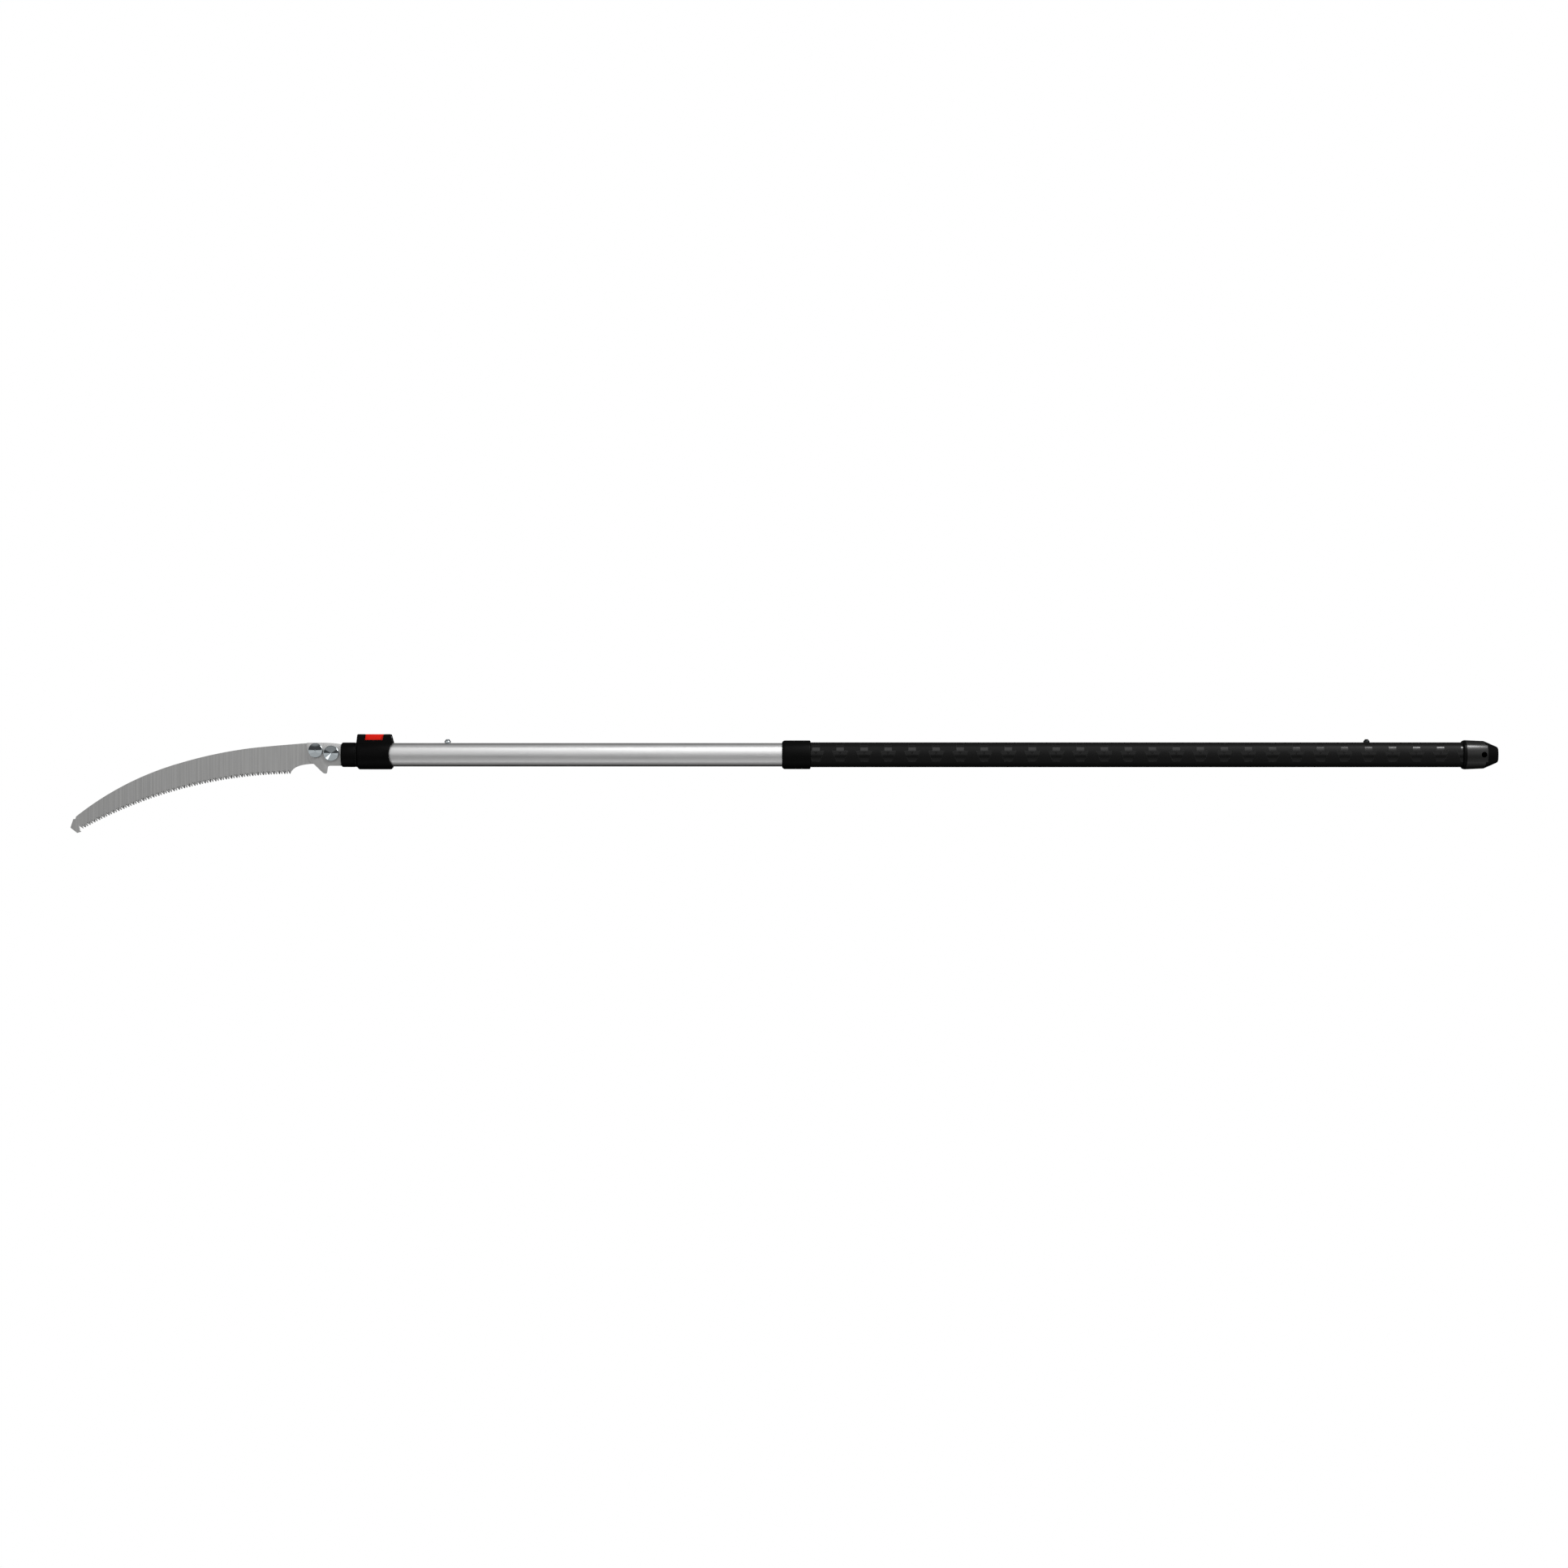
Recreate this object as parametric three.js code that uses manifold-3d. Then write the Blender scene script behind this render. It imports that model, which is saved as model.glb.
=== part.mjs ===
// A telescoping pole saw, fully retracted: a curved pull-cut blade bolted to the head of an oval inner tube,
// which slides in an oval outer tube and is locked by a pin under a rocking lever.
// Millimetres. The origin is the centre of the butt's end face. +X points out of the butt, the blade is at -X,
// +Z is up, the teeth face down, and the bolt heads face -Y.
import * as THREE from "three";
import { mergeVertices } from "three/addons/utils/BufferGeometryUtils.js";
import Module from "manifold-3d";

const wasm = await Module();
wasm.setup();

// ---------- Driving dimensions ----------

// Gap between neighbouring pieces that touch or slide on the real object.
const GAP = 0.3;

// The pole's section is a four-centre oval. Every tube, bush and cover is an offset of the outer tube's surface.
const OVAL = { halfWidth: 15, halfHeight: 20.6, endRadius: 14, steps: 32 };
const WALL = 1.5;

const OUTER_TUBE = { front: -1994.5, rear: -38 };
const INNER_TUBE = { front: -2021.5, rear: -250, offset: -3.5 };
const BUSH_OUTER = -WALL - GAP;
const BUSH_INNER = INNER_TUBE.offset + GAP;

// Seven lock holes give the pole its stops, from retracted to fully extended.
const LOCK = { x: -1988, pitch: 200, holes: 7, pinRadius: 2.5, holeRadius: 2.9, tip: 15 };
const TRAVEL = LOCK.pitch * (LOCK.holes - 1);

const BLADE = { thickness: 2, teeth: 82, toothDepth: 6.8, toothLean: 0.8 };
const BACK_NEAR = { x: -2086.5, z: -761.3, radius: 779.1, from: -2185, to: -2311.5 };
const BACK_FAR = { x: -2165.1, z: -517.3, radius: 522.9, from: -2311.5, to: -2488 };
const TOOTH_ARC = { x: -2102.6, z: -815.3, radius: 782, firstTip: -2478, lastTip: -2115.7 };

const CHEEK = { thickness: 3, shoulder: -2026.1, tangEnd: -1962, tangHalfHeight: 13 };
const BOLT_HOLE = 4.2;
const PIVOT = { x: -2070, z: 7.7, headRadius: 12.5, dish: 0.9, dimple: 1 };
const CLAMP = { x: -2042.6, z: 2.6, headRadius: 13.4, dish: 3.2, dimple: 0.5 };
const BOLT = { headThickness: 7, shankRadius: 3.9, rim: 0.9, chamfer: 0.6 };
const NUT = { flangeRadius: 8.8, flange: 1.8, acrossFlats: 13, height: 8, threadShow: 2 };

const FERRULE = { front: -2025.8, rear: -2000.9, offset: 1, chamfer: 3.5, wall: 4 };
const INSERT = { front: -2021.2, rear: -1957, slotEnd: -1961.7 };
const HEAD_RIVETS = [-2012, -1972];
const RIVET_RADIUS = 2.4;
const RIVET_HOLE = 2.7;

const STOP_SCREW = { front: -1839.8, rear: -230.2, shank: 2.4, hole: 2.8, head: 5.4, top: 27.2, tip: 17.7 };
const STOP_CLEARANCE = 0.6;
const GLIDE = { sleeveLength: 40, plugWall: 16.5, pinRadius: 2, pinHole: 2.2 };

const GUIDE_BUSH = { rear: -1953, flangeOffset: -0.2 };
const WIPER = { front: -2000.5, clearance: 0.4 };
const COLLAR = { front: -1998, rear: -1934.8, offset: 5.1, frontWall: 1.7, mouth: -2, rearScoop: 43.4 };
const HOUSING = { halfWidth: 12.6, top: 36, wellHalfWidth: 10.3, floor: 22, roof: 33.4, notch: 25.9 };
const COLLAR_SCREW = { x: -1946, z: 9, shank: 1.6, head: 3.2, headHeight: 2 };
const TRAVEL_SCREW = { z: 30.4, shank: 1.5, head: 2.5, tip: -1948.3, seat: -1939.2 };

const LEVER = { x: -1968, z: 23.8, halfWidth: 10, skin: 2.5, top: 35.9, pinRadius: 1.25, nose: 1.4 };
const PIN_FLANGE = { radius: 4, height: 1.5 };
const SPRING = { radius: 2.9, wire: 0.3, turns: 3, bottom: 27.6, top: 32.8 };

const CUFF = { front: -1254, rear: -1204, offset: 4.6, step: -1246 };
const GRIP = { front: -1245.7, rear: -52, offset: 1.2 };
const CAP = { front: -64, lip: -59, shoulder: -25.6, tubeStop: -37.7, spigot: -62, hole: -28.2, holeRadius: 5 };

// ---------- Materials ----------

function finish(color, roughness, metalness) {
  return new THREE.MeshStandardMaterial({ color, roughness, metalness });
}

const STEEL = finish(0x9a9a98, 0.42, 0.9);
const PLATE_STEEL = finish(0xa8a8a6, 0.38, 0.9);
const CHROME = finish(0xc4ccd0, 0.08, 1);
const ZINC = finish(0x9ea2a6, 0.3, 0.9);
const ALUMINIUM = finish(0xc9cacb, 0.35, 0.85);
const BLACK_PLASTIC = finish(0x0b0b0b, 0.5, 0);
const GREY_NYLON = finish(0x2b2c2d, 0.55, 0);
const RUBBER = finish(0x161616, 0.7, 0);
const CAP_RUBBER = finish(0x1f1f1f, 0.6, 0);
const RED_PLASTIC = finish(0xd81a10, 0.4, 0);

// ---------- Geometry helpers ----------

const WELD = 1e-4;
const AXIS = -OVAL.endRadius;
const END_CENTRE = OVAL.halfHeight - OVAL.endRadius;
const SIDE_RADIUS =
  (OVAL.halfWidth ** 2 + END_CENTRE ** 2 - OVAL.endRadius ** 2) / (2 * (OVAL.halfWidth - OVAL.endRadius));
const SIDE_CENTRE = SIDE_RADIUS - OVAL.halfWidth;
const SIDE_HALF_ANGLE = Math.atan2(END_CENTRE, SIDE_CENTRE);

// A closed three.js geometry as a manifold-3d solid whose faces point outwards.
function solid(geometry) {
  const bare = geometry.clone();
  bare.deleteAttribute("normal");
  bare.deleteAttribute("uv");
  const merged = mergeVertices(bare, WELD);
  const index = merged.index.array;
  const triangles = [];
  for (let i = 0; i < index.length; i += 3) {
    const [a, b, c] = [index[i], index[i + 1], index[i + 2]];
    if (a !== b && b !== c && c !== a) triangles.push(a, b, c);
  }
  const positions = merged.attributes.position.array;
  if (signedVolume(positions, triangles) < 0) triangles.reverse();
  const mesh = new wasm.Mesh({
    numProp: 3,
    vertProperties: positions,
    triVerts: new Uint32Array(triangles),
  });
  return new wasm.Manifold(mesh);
}

function signedVolume(positions, triangles) {
  const corners = [new THREE.Vector3(), new THREE.Vector3(), new THREE.Vector3()];
  let volume = 0;
  for (let i = 0; i < triangles.length; i += 3) {
    corners.forEach((corner, k) => corner.fromArray(positions, triangles[i + k] * 3));
    volume += corners[0].dot(corners[1].clone().cross(corners[2])) / 6;
  }
  return volume;
}

function union(...solids) {
  return solids.reduce((whole, next) => whole.add(next));
}

function cut(whole, ...tools) {
  return tools.reduce((rest, tool) => rest.subtract(tool), whole);
}

// One named mesh of the model from a solid.
function piece(name, body, material) {
  const mesh = body.getMesh();
  const positions = new Float32Array(mesh.numVert * 3);
  for (let i = 0; i < mesh.numVert; i++) {
    positions.set(mesh.vertProperties.subarray(i * mesh.numProp, i * mesh.numProp + 3), i * 3);
  }
  const geometry = new THREE.BufferGeometry();
  geometry.setAttribute("position", new THREE.BufferAttribute(positions, 3));
  geometry.setIndex(new THREE.BufferAttribute(mesh.triVerts, 1));
  geometry.computeVertexNormals();
  const named = new THREE.Mesh(geometry, material);
  named.name = name;
  return named;
}

// The point of the oval at an angle from +Y towards +Z, at an offset outside the outer tube's surface.
// Offset surfaces share their centres, so walls and gaps keep the same width all the way round.
function ovalPoint(angle, offset) {
  const normal = new THREE.Vector2(Math.cos(angle), Math.sin(angle));
  const fromSide = Math.asin(Math.min(1, Math.abs(normal.y)));
  if (fromSide < SIDE_HALF_ANGLE) {
    const centre = new THREE.Vector2(-Math.sign(normal.x) * SIDE_CENTRE, 0);
    return centre.addScaledVector(normal, SIDE_RADIUS + offset);
  }
  const centre = new THREE.Vector2(0, Math.sign(normal.y) * END_CENTRE);
  return centre.addScaledVector(normal, OVAL.endRadius + offset);
}

// A solid turned from a profile of [x, offset] points, with the circle pressed into the pole's oval.
// An offset of AXIS is on the pole's axis.
function ovalSolid(profile) {
  const points = profile.map(([x, offset]) => new THREE.Vector2(OVAL.endRadius + offset, x));
  const geometry = new THREE.LatheGeometry(points, OVAL.steps);
  const position = geometry.attributes.position;
  for (let i = 0; i < position.count; i++) {
    const radius = Math.hypot(position.getX(i), position.getZ(i));
    const x = position.getY(i);
    if (radius < WELD) {
      position.setXYZ(i, x, 0, 0);
      continue;
    }
    const angle = Math.atan2(position.getX(i), position.getZ(i));
    const point = ovalPoint(angle, radius - OVAL.endRadius);
    position.setXYZ(i, x, point.x, point.y);
  }
  return solid(geometry);
}

function ovalTube(front, rear, outer, inner) {
  return ovalSolid([[front, outer], [rear, outer], [rear, inner], [front, inner], [front, outer]]);
}

function ovalRod(front, rear, offset) {
  return ovalSolid([[front, AXIS], [front, offset], [rear, offset], [rear, AXIS]]);
}

// A turned solid about an axis along Y through (x, z), from a profile of [radius, y] points.
function turnedY(x, z, profile, steps = 32) {
  const points = profile.map(([radius, y]) => new THREE.Vector2(radius, y));
  return solid(new THREE.LatheGeometry(points, steps).translate(x, 0, z));
}

// A turned solid about a vertical axis through x on the pole's centre line, from [radius, z] points.
function turnedZ(x, profile, steps = 20) {
  const points = profile.map(([radius, z]) => new THREE.Vector2(radius, z));
  return solid(new THREE.LatheGeometry(points, steps).rotateX(Math.PI / 2).translate(x, 0, 0));
}

function rodX(y, z, radius, from, to, steps = 16) {
  const rod = new THREE.CylinderGeometry(radius, radius, to - from, steps);
  return solid(rod.rotateZ(Math.PI / 2).translate((from + to) / 2, y, z));
}

function rodY(x, z, radius, from, to, steps = 16) {
  const rod = new THREE.CylinderGeometry(radius, radius, to - from, steps);
  return solid(rod.translate(x, (from + to) / 2, z));
}

function rodZ(x, radius, from, to, steps = 16) {
  const rod = new THREE.CylinderGeometry(radius, radius, to - from, steps);
  return solid(rod.rotateX(Math.PI / 2).translate(x, 0, (from + to) / 2));
}

// A flat plate: an outline in X and Z, between two values of Y.
function plate(shape, from, to, curveSegments = 12) {
  const geometry = new THREE.ExtrudeGeometry(shape, { depth: to - from, bevelEnabled: false, curveSegments });
  return solid(geometry.rotateX(Math.PI / 2).translate(0, to, 0));
}

function outline(points) {
  return new THREE.Shape(points.map(([x, z]) => new THREE.Vector2(x, z)));
}

// A prism along X from a cross-section in Y and Z.
function prismX(shape, from, to) {
  const geometry = new THREE.ExtrudeGeometry(shape, { depth: to - from, bevelEnabled: false });
  return solid(geometry.rotateX(Math.PI / 2).rotateZ(Math.PI / 2).translate(from, 0, 0));
}

function box(x0, x1, halfWidth, z0, z1) {
  const geometry = new THREE.BoxGeometry(x1 - x0, 2 * halfWidth, z1 - z0);
  return solid(geometry.translate((x0 + x1) / 2, 0, (z0 + z1) / 2));
}

// ---------- The blade ----------

// Angle of a point on an arc whose x is known, for a point above the arc's centre.
function angleAt(arc, x) {
  return Math.acos((x - arc.x) / arc.radius);
}

function arcAlong(shape, arc) {
  shape.absarc(arc.x, arc.z, arc.radius, angleAt(arc, arc.from), angleAt(arc, arc.to), false);
}

function addTeeth(shape) {
  const first = angleAt(TOOTH_ARC, TOOTH_ARC.firstTip);
  const last = angleAt(TOOTH_ARC, TOOTH_ARC.lastTip);
  const pitch = (first - last) / (BLADE.teeth - 1);
  const rootRadius = TOOTH_ARC.radius + BLADE.toothDepth;
  for (let tooth = 0; tooth < BLADE.teeth; tooth++) {
    const tip = first - tooth * pitch;
    const root = tip + BLADE.toothLean * pitch;
    shape.lineTo(TOOTH_ARC.x + rootRadius * Math.cos(root), TOOTH_ARC.z + rootRadius * Math.sin(root));
    shape.lineTo(TOOTH_ARC.x + TOOTH_ARC.radius * Math.cos(tip), TOOTH_ARC.z + TOOTH_ARC.radius * Math.sin(tip));
  }
}

function bladeShape() {
  const shape = new THREE.Shape();
  shape.moveTo(-2030, 17.6);
  shape.lineTo(-2056, 20.5);
  shape.lineTo(-2078, 21);
  shape.quadraticCurveTo(-2160.7, 14.6, -2185, 11.5);
  arcAlong(shape, BACK_NEAR);
  arcAlong(shape, BACK_FAR);
  const sickleTip = [
    [-2491.1, -109.5], [-2492.2, -112.5], [-2495.6, -112.6], [-2500.5, -127.7],
    [-2488.8, -136.9], [-2481.9, -134.7], [-2483.9, -131.5], [-2485.4, -123.3],
  ];
  sickleTip.forEach(([x, z]) => shape.lineTo(x, z));
  addTeeth(shape);
  shape.bezierCurveTo(-2112, -22.5, -2101, -17, -2075.4, -15.8);
  shape.lineTo(-2060, -13);
  shape.lineTo(-2030, -13);
  return shape;
}

function sawBlade() {
  const half = BLADE.thickness / 2;
  const body = plate(bladeShape(), -half, half);
  return piece("saw_blade", cut(body, ...boltHoles()), STEEL);
}

// ---------- The head ----------

const CHEEK_INSIDE = BLADE.thickness / 2 + GAP;
const CHEEK_OUTSIDE = CHEEK_INSIDE + CHEEK.thickness;

function boltHoles() {
  return [PIVOT, CLAMP].map(({ x, z }) => rodY(x, z, BOLT_HOLE, -20, 20));
}

function rivetHoles(radius = RIVET_HOLE) {
  return HEAD_RIVETS.map((x) => rodY(x, 0, radius, -20, 20));
}

// The cheek plate's outline. The hook below it catches hung-up branches.
function cheekShape(withHook) {
  const shape = new THREE.Shape();
  shape.moveTo(CHEEK.shoulder, 18.4);
  shape.quadraticCurveTo(-2041, 21, -2056, 21);
  shape.lineTo(-2083.2, 21);
  shape.quadraticCurveTo(-2087.6, 21, -2087, 17.1);
  shape.lineTo(-2083.8, -5);
  shape.quadraticCurveTo(-2082.5, -12.5, -2074.5, -15.6);
  if (withHook) {
    shape.lineTo(-2058.4, -31);
    shape.quadraticCurveTo(-2054.6, -34, -2051.7, -32.6);
    shape.quadraticCurveTo(-2050.2, -31.6, -2049.8, -23.4);
    shape.quadraticCurveTo(-2049.6, -19.3, -2045, -19.3);
  } else {
    shape.quadraticCurveTo(-2068, -19.3, -2058, -19.3);
  }
  shape.lineTo(CHEEK.shoulder, -19.3);
  shape.lineTo(CHEEK.shoulder, -CHEEK.tangHalfHeight);
  shape.lineTo(CHEEK.tangEnd, -CHEEK.tangHalfHeight);
  shape.lineTo(CHEEK.tangEnd, CHEEK.tangHalfHeight);
  shape.lineTo(CHEEK.shoulder, CHEEK.tangHalfHeight);
  return shape;
}

function cheekPlate(name, withHook, from, to) {
  const body = plate(cheekShape(withHook), from, to, 8);
  return piece(name, cut(body, ...boltHoles(), ...rivetHoles()), PLATE_STEEL);
}

function spacerPlate() {
  const half = BLADE.thickness / 2;
  const body = box(-2030 + GAP, CHEEK.tangEnd, half, -CHEEK.tangHalfHeight, CHEEK.tangHalfHeight);
  return piece("spacer_plate", cut(body, ...rivetHoles()), PLATE_STEEL);
}

// A round-headed clamping bolt with a dished face and a dimple left by turning, head on the -Y side.
function headBolt(name, { x, z, headRadius, dish, dimple }) {
  const seat = -CHEEK_OUTSIDE - GAP;
  const face = seat - BOLT.headThickness;
  const end = CHEEK_OUTSIDE + GAP + NUT.height + NUT.threadShow;
  const profile = [
    [0, face + dish + dimple], [0.8, face + dish + dimple], [1.3, face + dish], [headRadius - BOLT.rim, face],
    [headRadius - BOLT.chamfer, face], [headRadius, face + BOLT.chamfer],
    [headRadius, seat], [BOLT.shankRadius, seat],
    [BOLT.shankRadius, end - 1], [BOLT.shankRadius - 1, end], [0, end],
  ];
  return piece(name, turnedY(x, z, profile), CHROME);
}

function flangeNut(name, { x, z }) {
  const seat = CHEEK_OUTSIDE + GAP;
  const cornerRadius = NUT.acrossFlats / 2 / Math.cos(Math.PI / 6);
  const flange = rodY(x, z, NUT.flangeRadius, seat, seat + NUT.flange, 32);
  const hexagon = rodY(x, z, cornerRadius, seat, seat + NUT.height, 6);
  return piece(name, cut(union(flange, hexagon), rodY(x, z, BOLT_HOLE, seat - 1, 30)), ZINC);
}

function tangSlot(front, rear) {
  return box(front, rear, CHEEK_OUTSIDE + GAP, -CHEEK.tangHalfHeight - GAP, CHEEK.tangHalfHeight + GAP);
}

function headInsert() {
  const offset = INNER_TUBE.offset - WALL - GAP;
  const body = ovalRod(INSERT.front, INSERT.rear, offset);
  const pinRelief = rodZ(LOCK.x, LOCK.pinRadius + 2 * GAP, LOCK.tip - 0.8, 20);
  const slot = tangSlot(INSERT.front - 5, INSERT.slotEnd);
  return piece("head_insert", cut(body, slot, pinRelief, ...rivetHoles()), ALUMINIUM);
}

function headRivet(name, x) {
  const halfLength = OVAL.halfWidth + INNER_TUBE.offset - 0.1;
  return piece(name, rodY(x, 0, RIVET_RADIUS, -halfLength, halfLength), ZINC);
}

function headFerrule() {
  const { front, rear, offset, chamfer, wall } = FERRULE;
  const body = ovalSolid([
    [front, AXIS], [front, offset - chamfer], [front + chamfer / 3, offset - chamfer / 4],
    [front + chamfer, offset], [rear - 1.3, offset], [rear, offset - 1.3],
    [rear, BUSH_INNER], [front + wall, BUSH_INNER], [front + wall, AXIS],
  ]);
  return piece("head_ferrule", cut(body, tangSlot(front - 5, front + wall + 1)), BLACK_PLASTIC);
}

// ---------- The inner tube and what slides with it ----------

const SLEEVE_FRONT = STOP_SCREW.front + STOP_SCREW.shank + STOP_CLEARANCE + TRAVEL;
const SLEEVE_PIN_X = SLEEVE_FRONT + GLIDE.sleeveLength / 2;
const PLUG_REAR = STOP_SCREW.rear - STOP_SCREW.shank - STOP_CLEARANCE;
const PLUG_PIN_X = INNER_TUBE.rear - GLIDE.sleeveLength / 2;

function innerTube() {
  const { front, rear, offset } = INNER_TUBE;
  const tools = [...rivetHoles()];
  for (let hole = 0; hole < LOCK.holes; hole++) {
    tools.push(rodZ(LOCK.x + hole * LOCK.pitch, LOCK.holeRadius, 8, 25));
  }
  [SLEEVE_PIN_X, PLUG_PIN_X].forEach((x) => tools.push(rodY(x, 0, GLIDE.pinHole, -20, 20)));
  return piece("inner_tube", cut(ovalTube(front, rear, offset, offset - WALL), ...tools), ALUMINIUM);
}

function stopSleeve() {
  const body = ovalTube(SLEEVE_FRONT, SLEEVE_FRONT + GLIDE.sleeveLength, BUSH_OUTER, BUSH_INNER);
  return piece("stop_sleeve", cut(body, rodY(SLEEVE_PIN_X, 0, GLIDE.pinHole, -20, 20)), GREY_NYLON);
}

function rearGlide() {
  const mouth = INNER_TUBE.rear - GLIDE.sleeveLength;
  const floor = PLUG_REAR - GLIDE.plugWall;
  const body = ovalSolid([
    [PLUG_REAR, AXIS], [PLUG_REAR, BUSH_OUTER], [mouth, BUSH_OUTER],
    [mouth, BUSH_INNER], [floor, BUSH_INNER], [floor, AXIS],
  ]);
  return piece("rear_glide", cut(body, rodY(PLUG_PIN_X, 0, GLIDE.pinHole, -20, 20)), GREY_NYLON);
}

function glidePin(name, x) {
  const halfLength = OVAL.halfWidth + BUSH_OUTER - 0.2;
  return piece(name, rodY(x, 0, GLIDE.pinRadius, -halfLength, halfLength, 16), ZINC);
}

// ---------- The outer tube and its stop screws ----------

function outerTube() {
  const { front, rear } = OUTER_TUBE;
  const tools = [
    rodZ(LOCK.x, LOCK.holeRadius, 8, 25),
    rodZ(STOP_SCREW.front, STOP_SCREW.hole, 8, 25),
    rodZ(STOP_SCREW.rear, STOP_SCREW.hole, 8, 25),
    ...[1, -1].map((side) => rodY(COLLAR_SCREW.x, side * COLLAR_SCREW.z, COLLAR_SCREW.shank + GAP, 5, 20)),
  ];
  return piece("outer_tube", cut(ovalTube(front, rear, 0, -WALL), ...tools), ALUMINIUM);
}

// A domed screw whose tip reaches into the gap between the tubes and stops the glides.
function stopScrew(name, x) {
  const { shank, head, top, tip } = STOP_SCREW;
  const seat = OVAL.halfHeight + GAP;
  const profile = [
    [0, tip], [shank, tip], [shank, seat], [head, seat], [head, seat + 2.2], [head - 0.4, seat + 3.5],
    [head - 1.7, seat + 4.8], [head - 2.2, top - 0.5], [head - 2.8, top], [0, top],
  ];
  const socket = rodZ(x, 1.6, top - 2, top + 1, 6);
  return piece(name, cut(turnedZ(x, profile), socket), CHROME);
}

// ---------- The collar ----------

function guideBush() {
  const flange = COLLAR.front + COLLAR.frontWall + GAP;
  const tubeEnd = OUTER_TUBE.front - GAP;
  const { rear, flangeOffset } = GUIDE_BUSH;
  const body = ovalSolid([
    [flange, BUSH_INNER], [flange, flangeOffset], [tubeEnd, flangeOffset], [tubeEnd, BUSH_OUTER],
    [rear, BUSH_OUTER], [rear, BUSH_INNER], [flange, BUSH_INNER],
  ]);
  return piece("guide_bush", cut(body, rodZ(LOCK.x, LOCK.holeRadius, 8, 25)), GREY_NYLON);
}

function wiperRing() {
  const { front, clearance } = WIPER;
  const seat = COLLAR.front - GAP;
  const spigot = COLLAR.front + COLLAR.frontWall - GAP;
  const lip = INNER_TUBE.offset + clearance;
  const plug = COLLAR.mouth - GAP;
  const body = ovalSolid([
    [front, lip], [front, FERRULE.offset], [seat, FERRULE.offset], [seat, plug],
    [spigot, plug], [spigot, lip], [front, lip],
  ]);
  return piece("wiper_ring", body, RUBBER);
}

// The block over the tube that holds the lever, the lock pin and its spring.
function leverBlock() {
  const { halfWidth, top } = HOUSING;
  const side = outline([
    [-1997.9, 8], [-1997.9, 22.5], [-1996.4, 34.4], [-1994.9, top],
    [-1940.4, top], [-1938.9, 34.4], [-1935.4, 21.5], [-1935.4, 8],
  ]);
  const section = outline([
    [halfWidth + 0.6, 8], [halfWidth, 33], [halfWidth - 0.8, 35.2], [halfWidth - 2.6, top],
    [-halfWidth + 2.6, top], [-halfWidth + 0.8, 35.2], [-halfWidth, 33], [-halfWidth - 0.6, 8],
  ]);
  return plate(side, -20, 20).intersect(prismX(section, -2010, -1920));
}

// The hollow that the lever rocks in. Its floor is the outer tube, except round the lock pin.
function leverWell() {
  const { wellHalfWidth, floor, roof } = HOUSING;
  const side = outline([
    [-1995.2, floor], [-1984, floor], [-1984, 19.8], [-1949, 19.8], [-1949, 24.8], [-1946.6, 40],
    [-1983.9, 40], [-1983.9, roof], [-1995.2, roof],
  ]);
  return plate(side, -wellHalfWidth, wellHalfWidth);
}

function leverNotch() {
  return plate(outline([[-1984.4, HOUSING.notch], [-1952.2, HOUSING.notch], [-1949.1, 40], [-1981.5, 40]]), -20, 20);
}

function collarHousing() {
  const { front, rear, offset, frontWall, mouth, rearScoop } = COLLAR;
  const shell = ovalSolid([
    [front, AXIS], [front, 0.9], [front + 2, 3.6], [front + 4.5, offset],
    [rear - 4.7, offset], [rear - 1.2, 2.8], [rear, 0.9], [rear, AXIS],
  ]);
  const scoop = rodY(-1940.5 + rearScoop, 0, rearScoop, -30, 30, 72);
  const screws = [1, -1].map((side) => collarScrewHole(side * COLLAR_SCREW.z));
  const body = cut(
    union(shell, leverBlock()),
    ovalRod(front + frontWall, rear + 5, GAP),
    ovalRod(front - 1, front + frontWall + 1, mouth),
    scoop,
    leverWell(),
    leverNotch(),
    rodZ(LOCK.x, LOCK.pinRadius + GAP, 12, 26),
    rodY(LEVER.x, LEVER.z, LEVER.pinRadius + 0.2, -20, 20),
    rodX(0, TRAVEL_SCREW.z, TRAVEL_SCREW.shank + 0.2, -1950, -1930),
    rodX(0, TRAVEL_SCREW.z, TRAVEL_SCREW.head + GAP, TRAVEL_SCREW.seat - GAP, -1930),
    ...screws,
  );
  return piece("collar_housing", body, BLACK_PLASTIC);
}

const COLLAR_SCREW_FACE = 18.8;

function collarScrewHole(z) {
  const { x, shank, head, headHeight } = COLLAR_SCREW;
  const seat = COLLAR_SCREW_FACE - headHeight - GAP;
  return union(rodY(x, z, shank + GAP, 8, 24), rodY(x, z, head + GAP, seat, 24));
}

function collarScrew(name, z) {
  const { x, shank, head, headHeight } = COLLAR_SCREW;
  const seat = COLLAR_SCREW_FACE - headHeight;
  const body = union(
    rodY(x, z, shank, 12, seat + 0.5),
    cut(rodY(x, z, head, seat, COLLAR_SCREW_FACE, 24), rodY(x, z, 1.2, COLLAR_SCREW_FACE - 1.2, 30, 6)),
  );
  return piece(name, body, ZINC);
}

// The small screw in the back of the block that the lever's end comes to rest on.
function travelStopScrew() {
  const { z, shank, head, tip, seat } = TRAVEL_SCREW;
  const body = union(rodX(0, z, shank, tip, seat + 0.5), rodX(0, z, head, seat, seat + 2));
  return piece("travel_stop_screw", cut(body, rodX(0, z, 1, seat + 1, seat + 5, 6)), CHROME);
}

// ---------- The lever, the lock pin and the spring ----------

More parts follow.
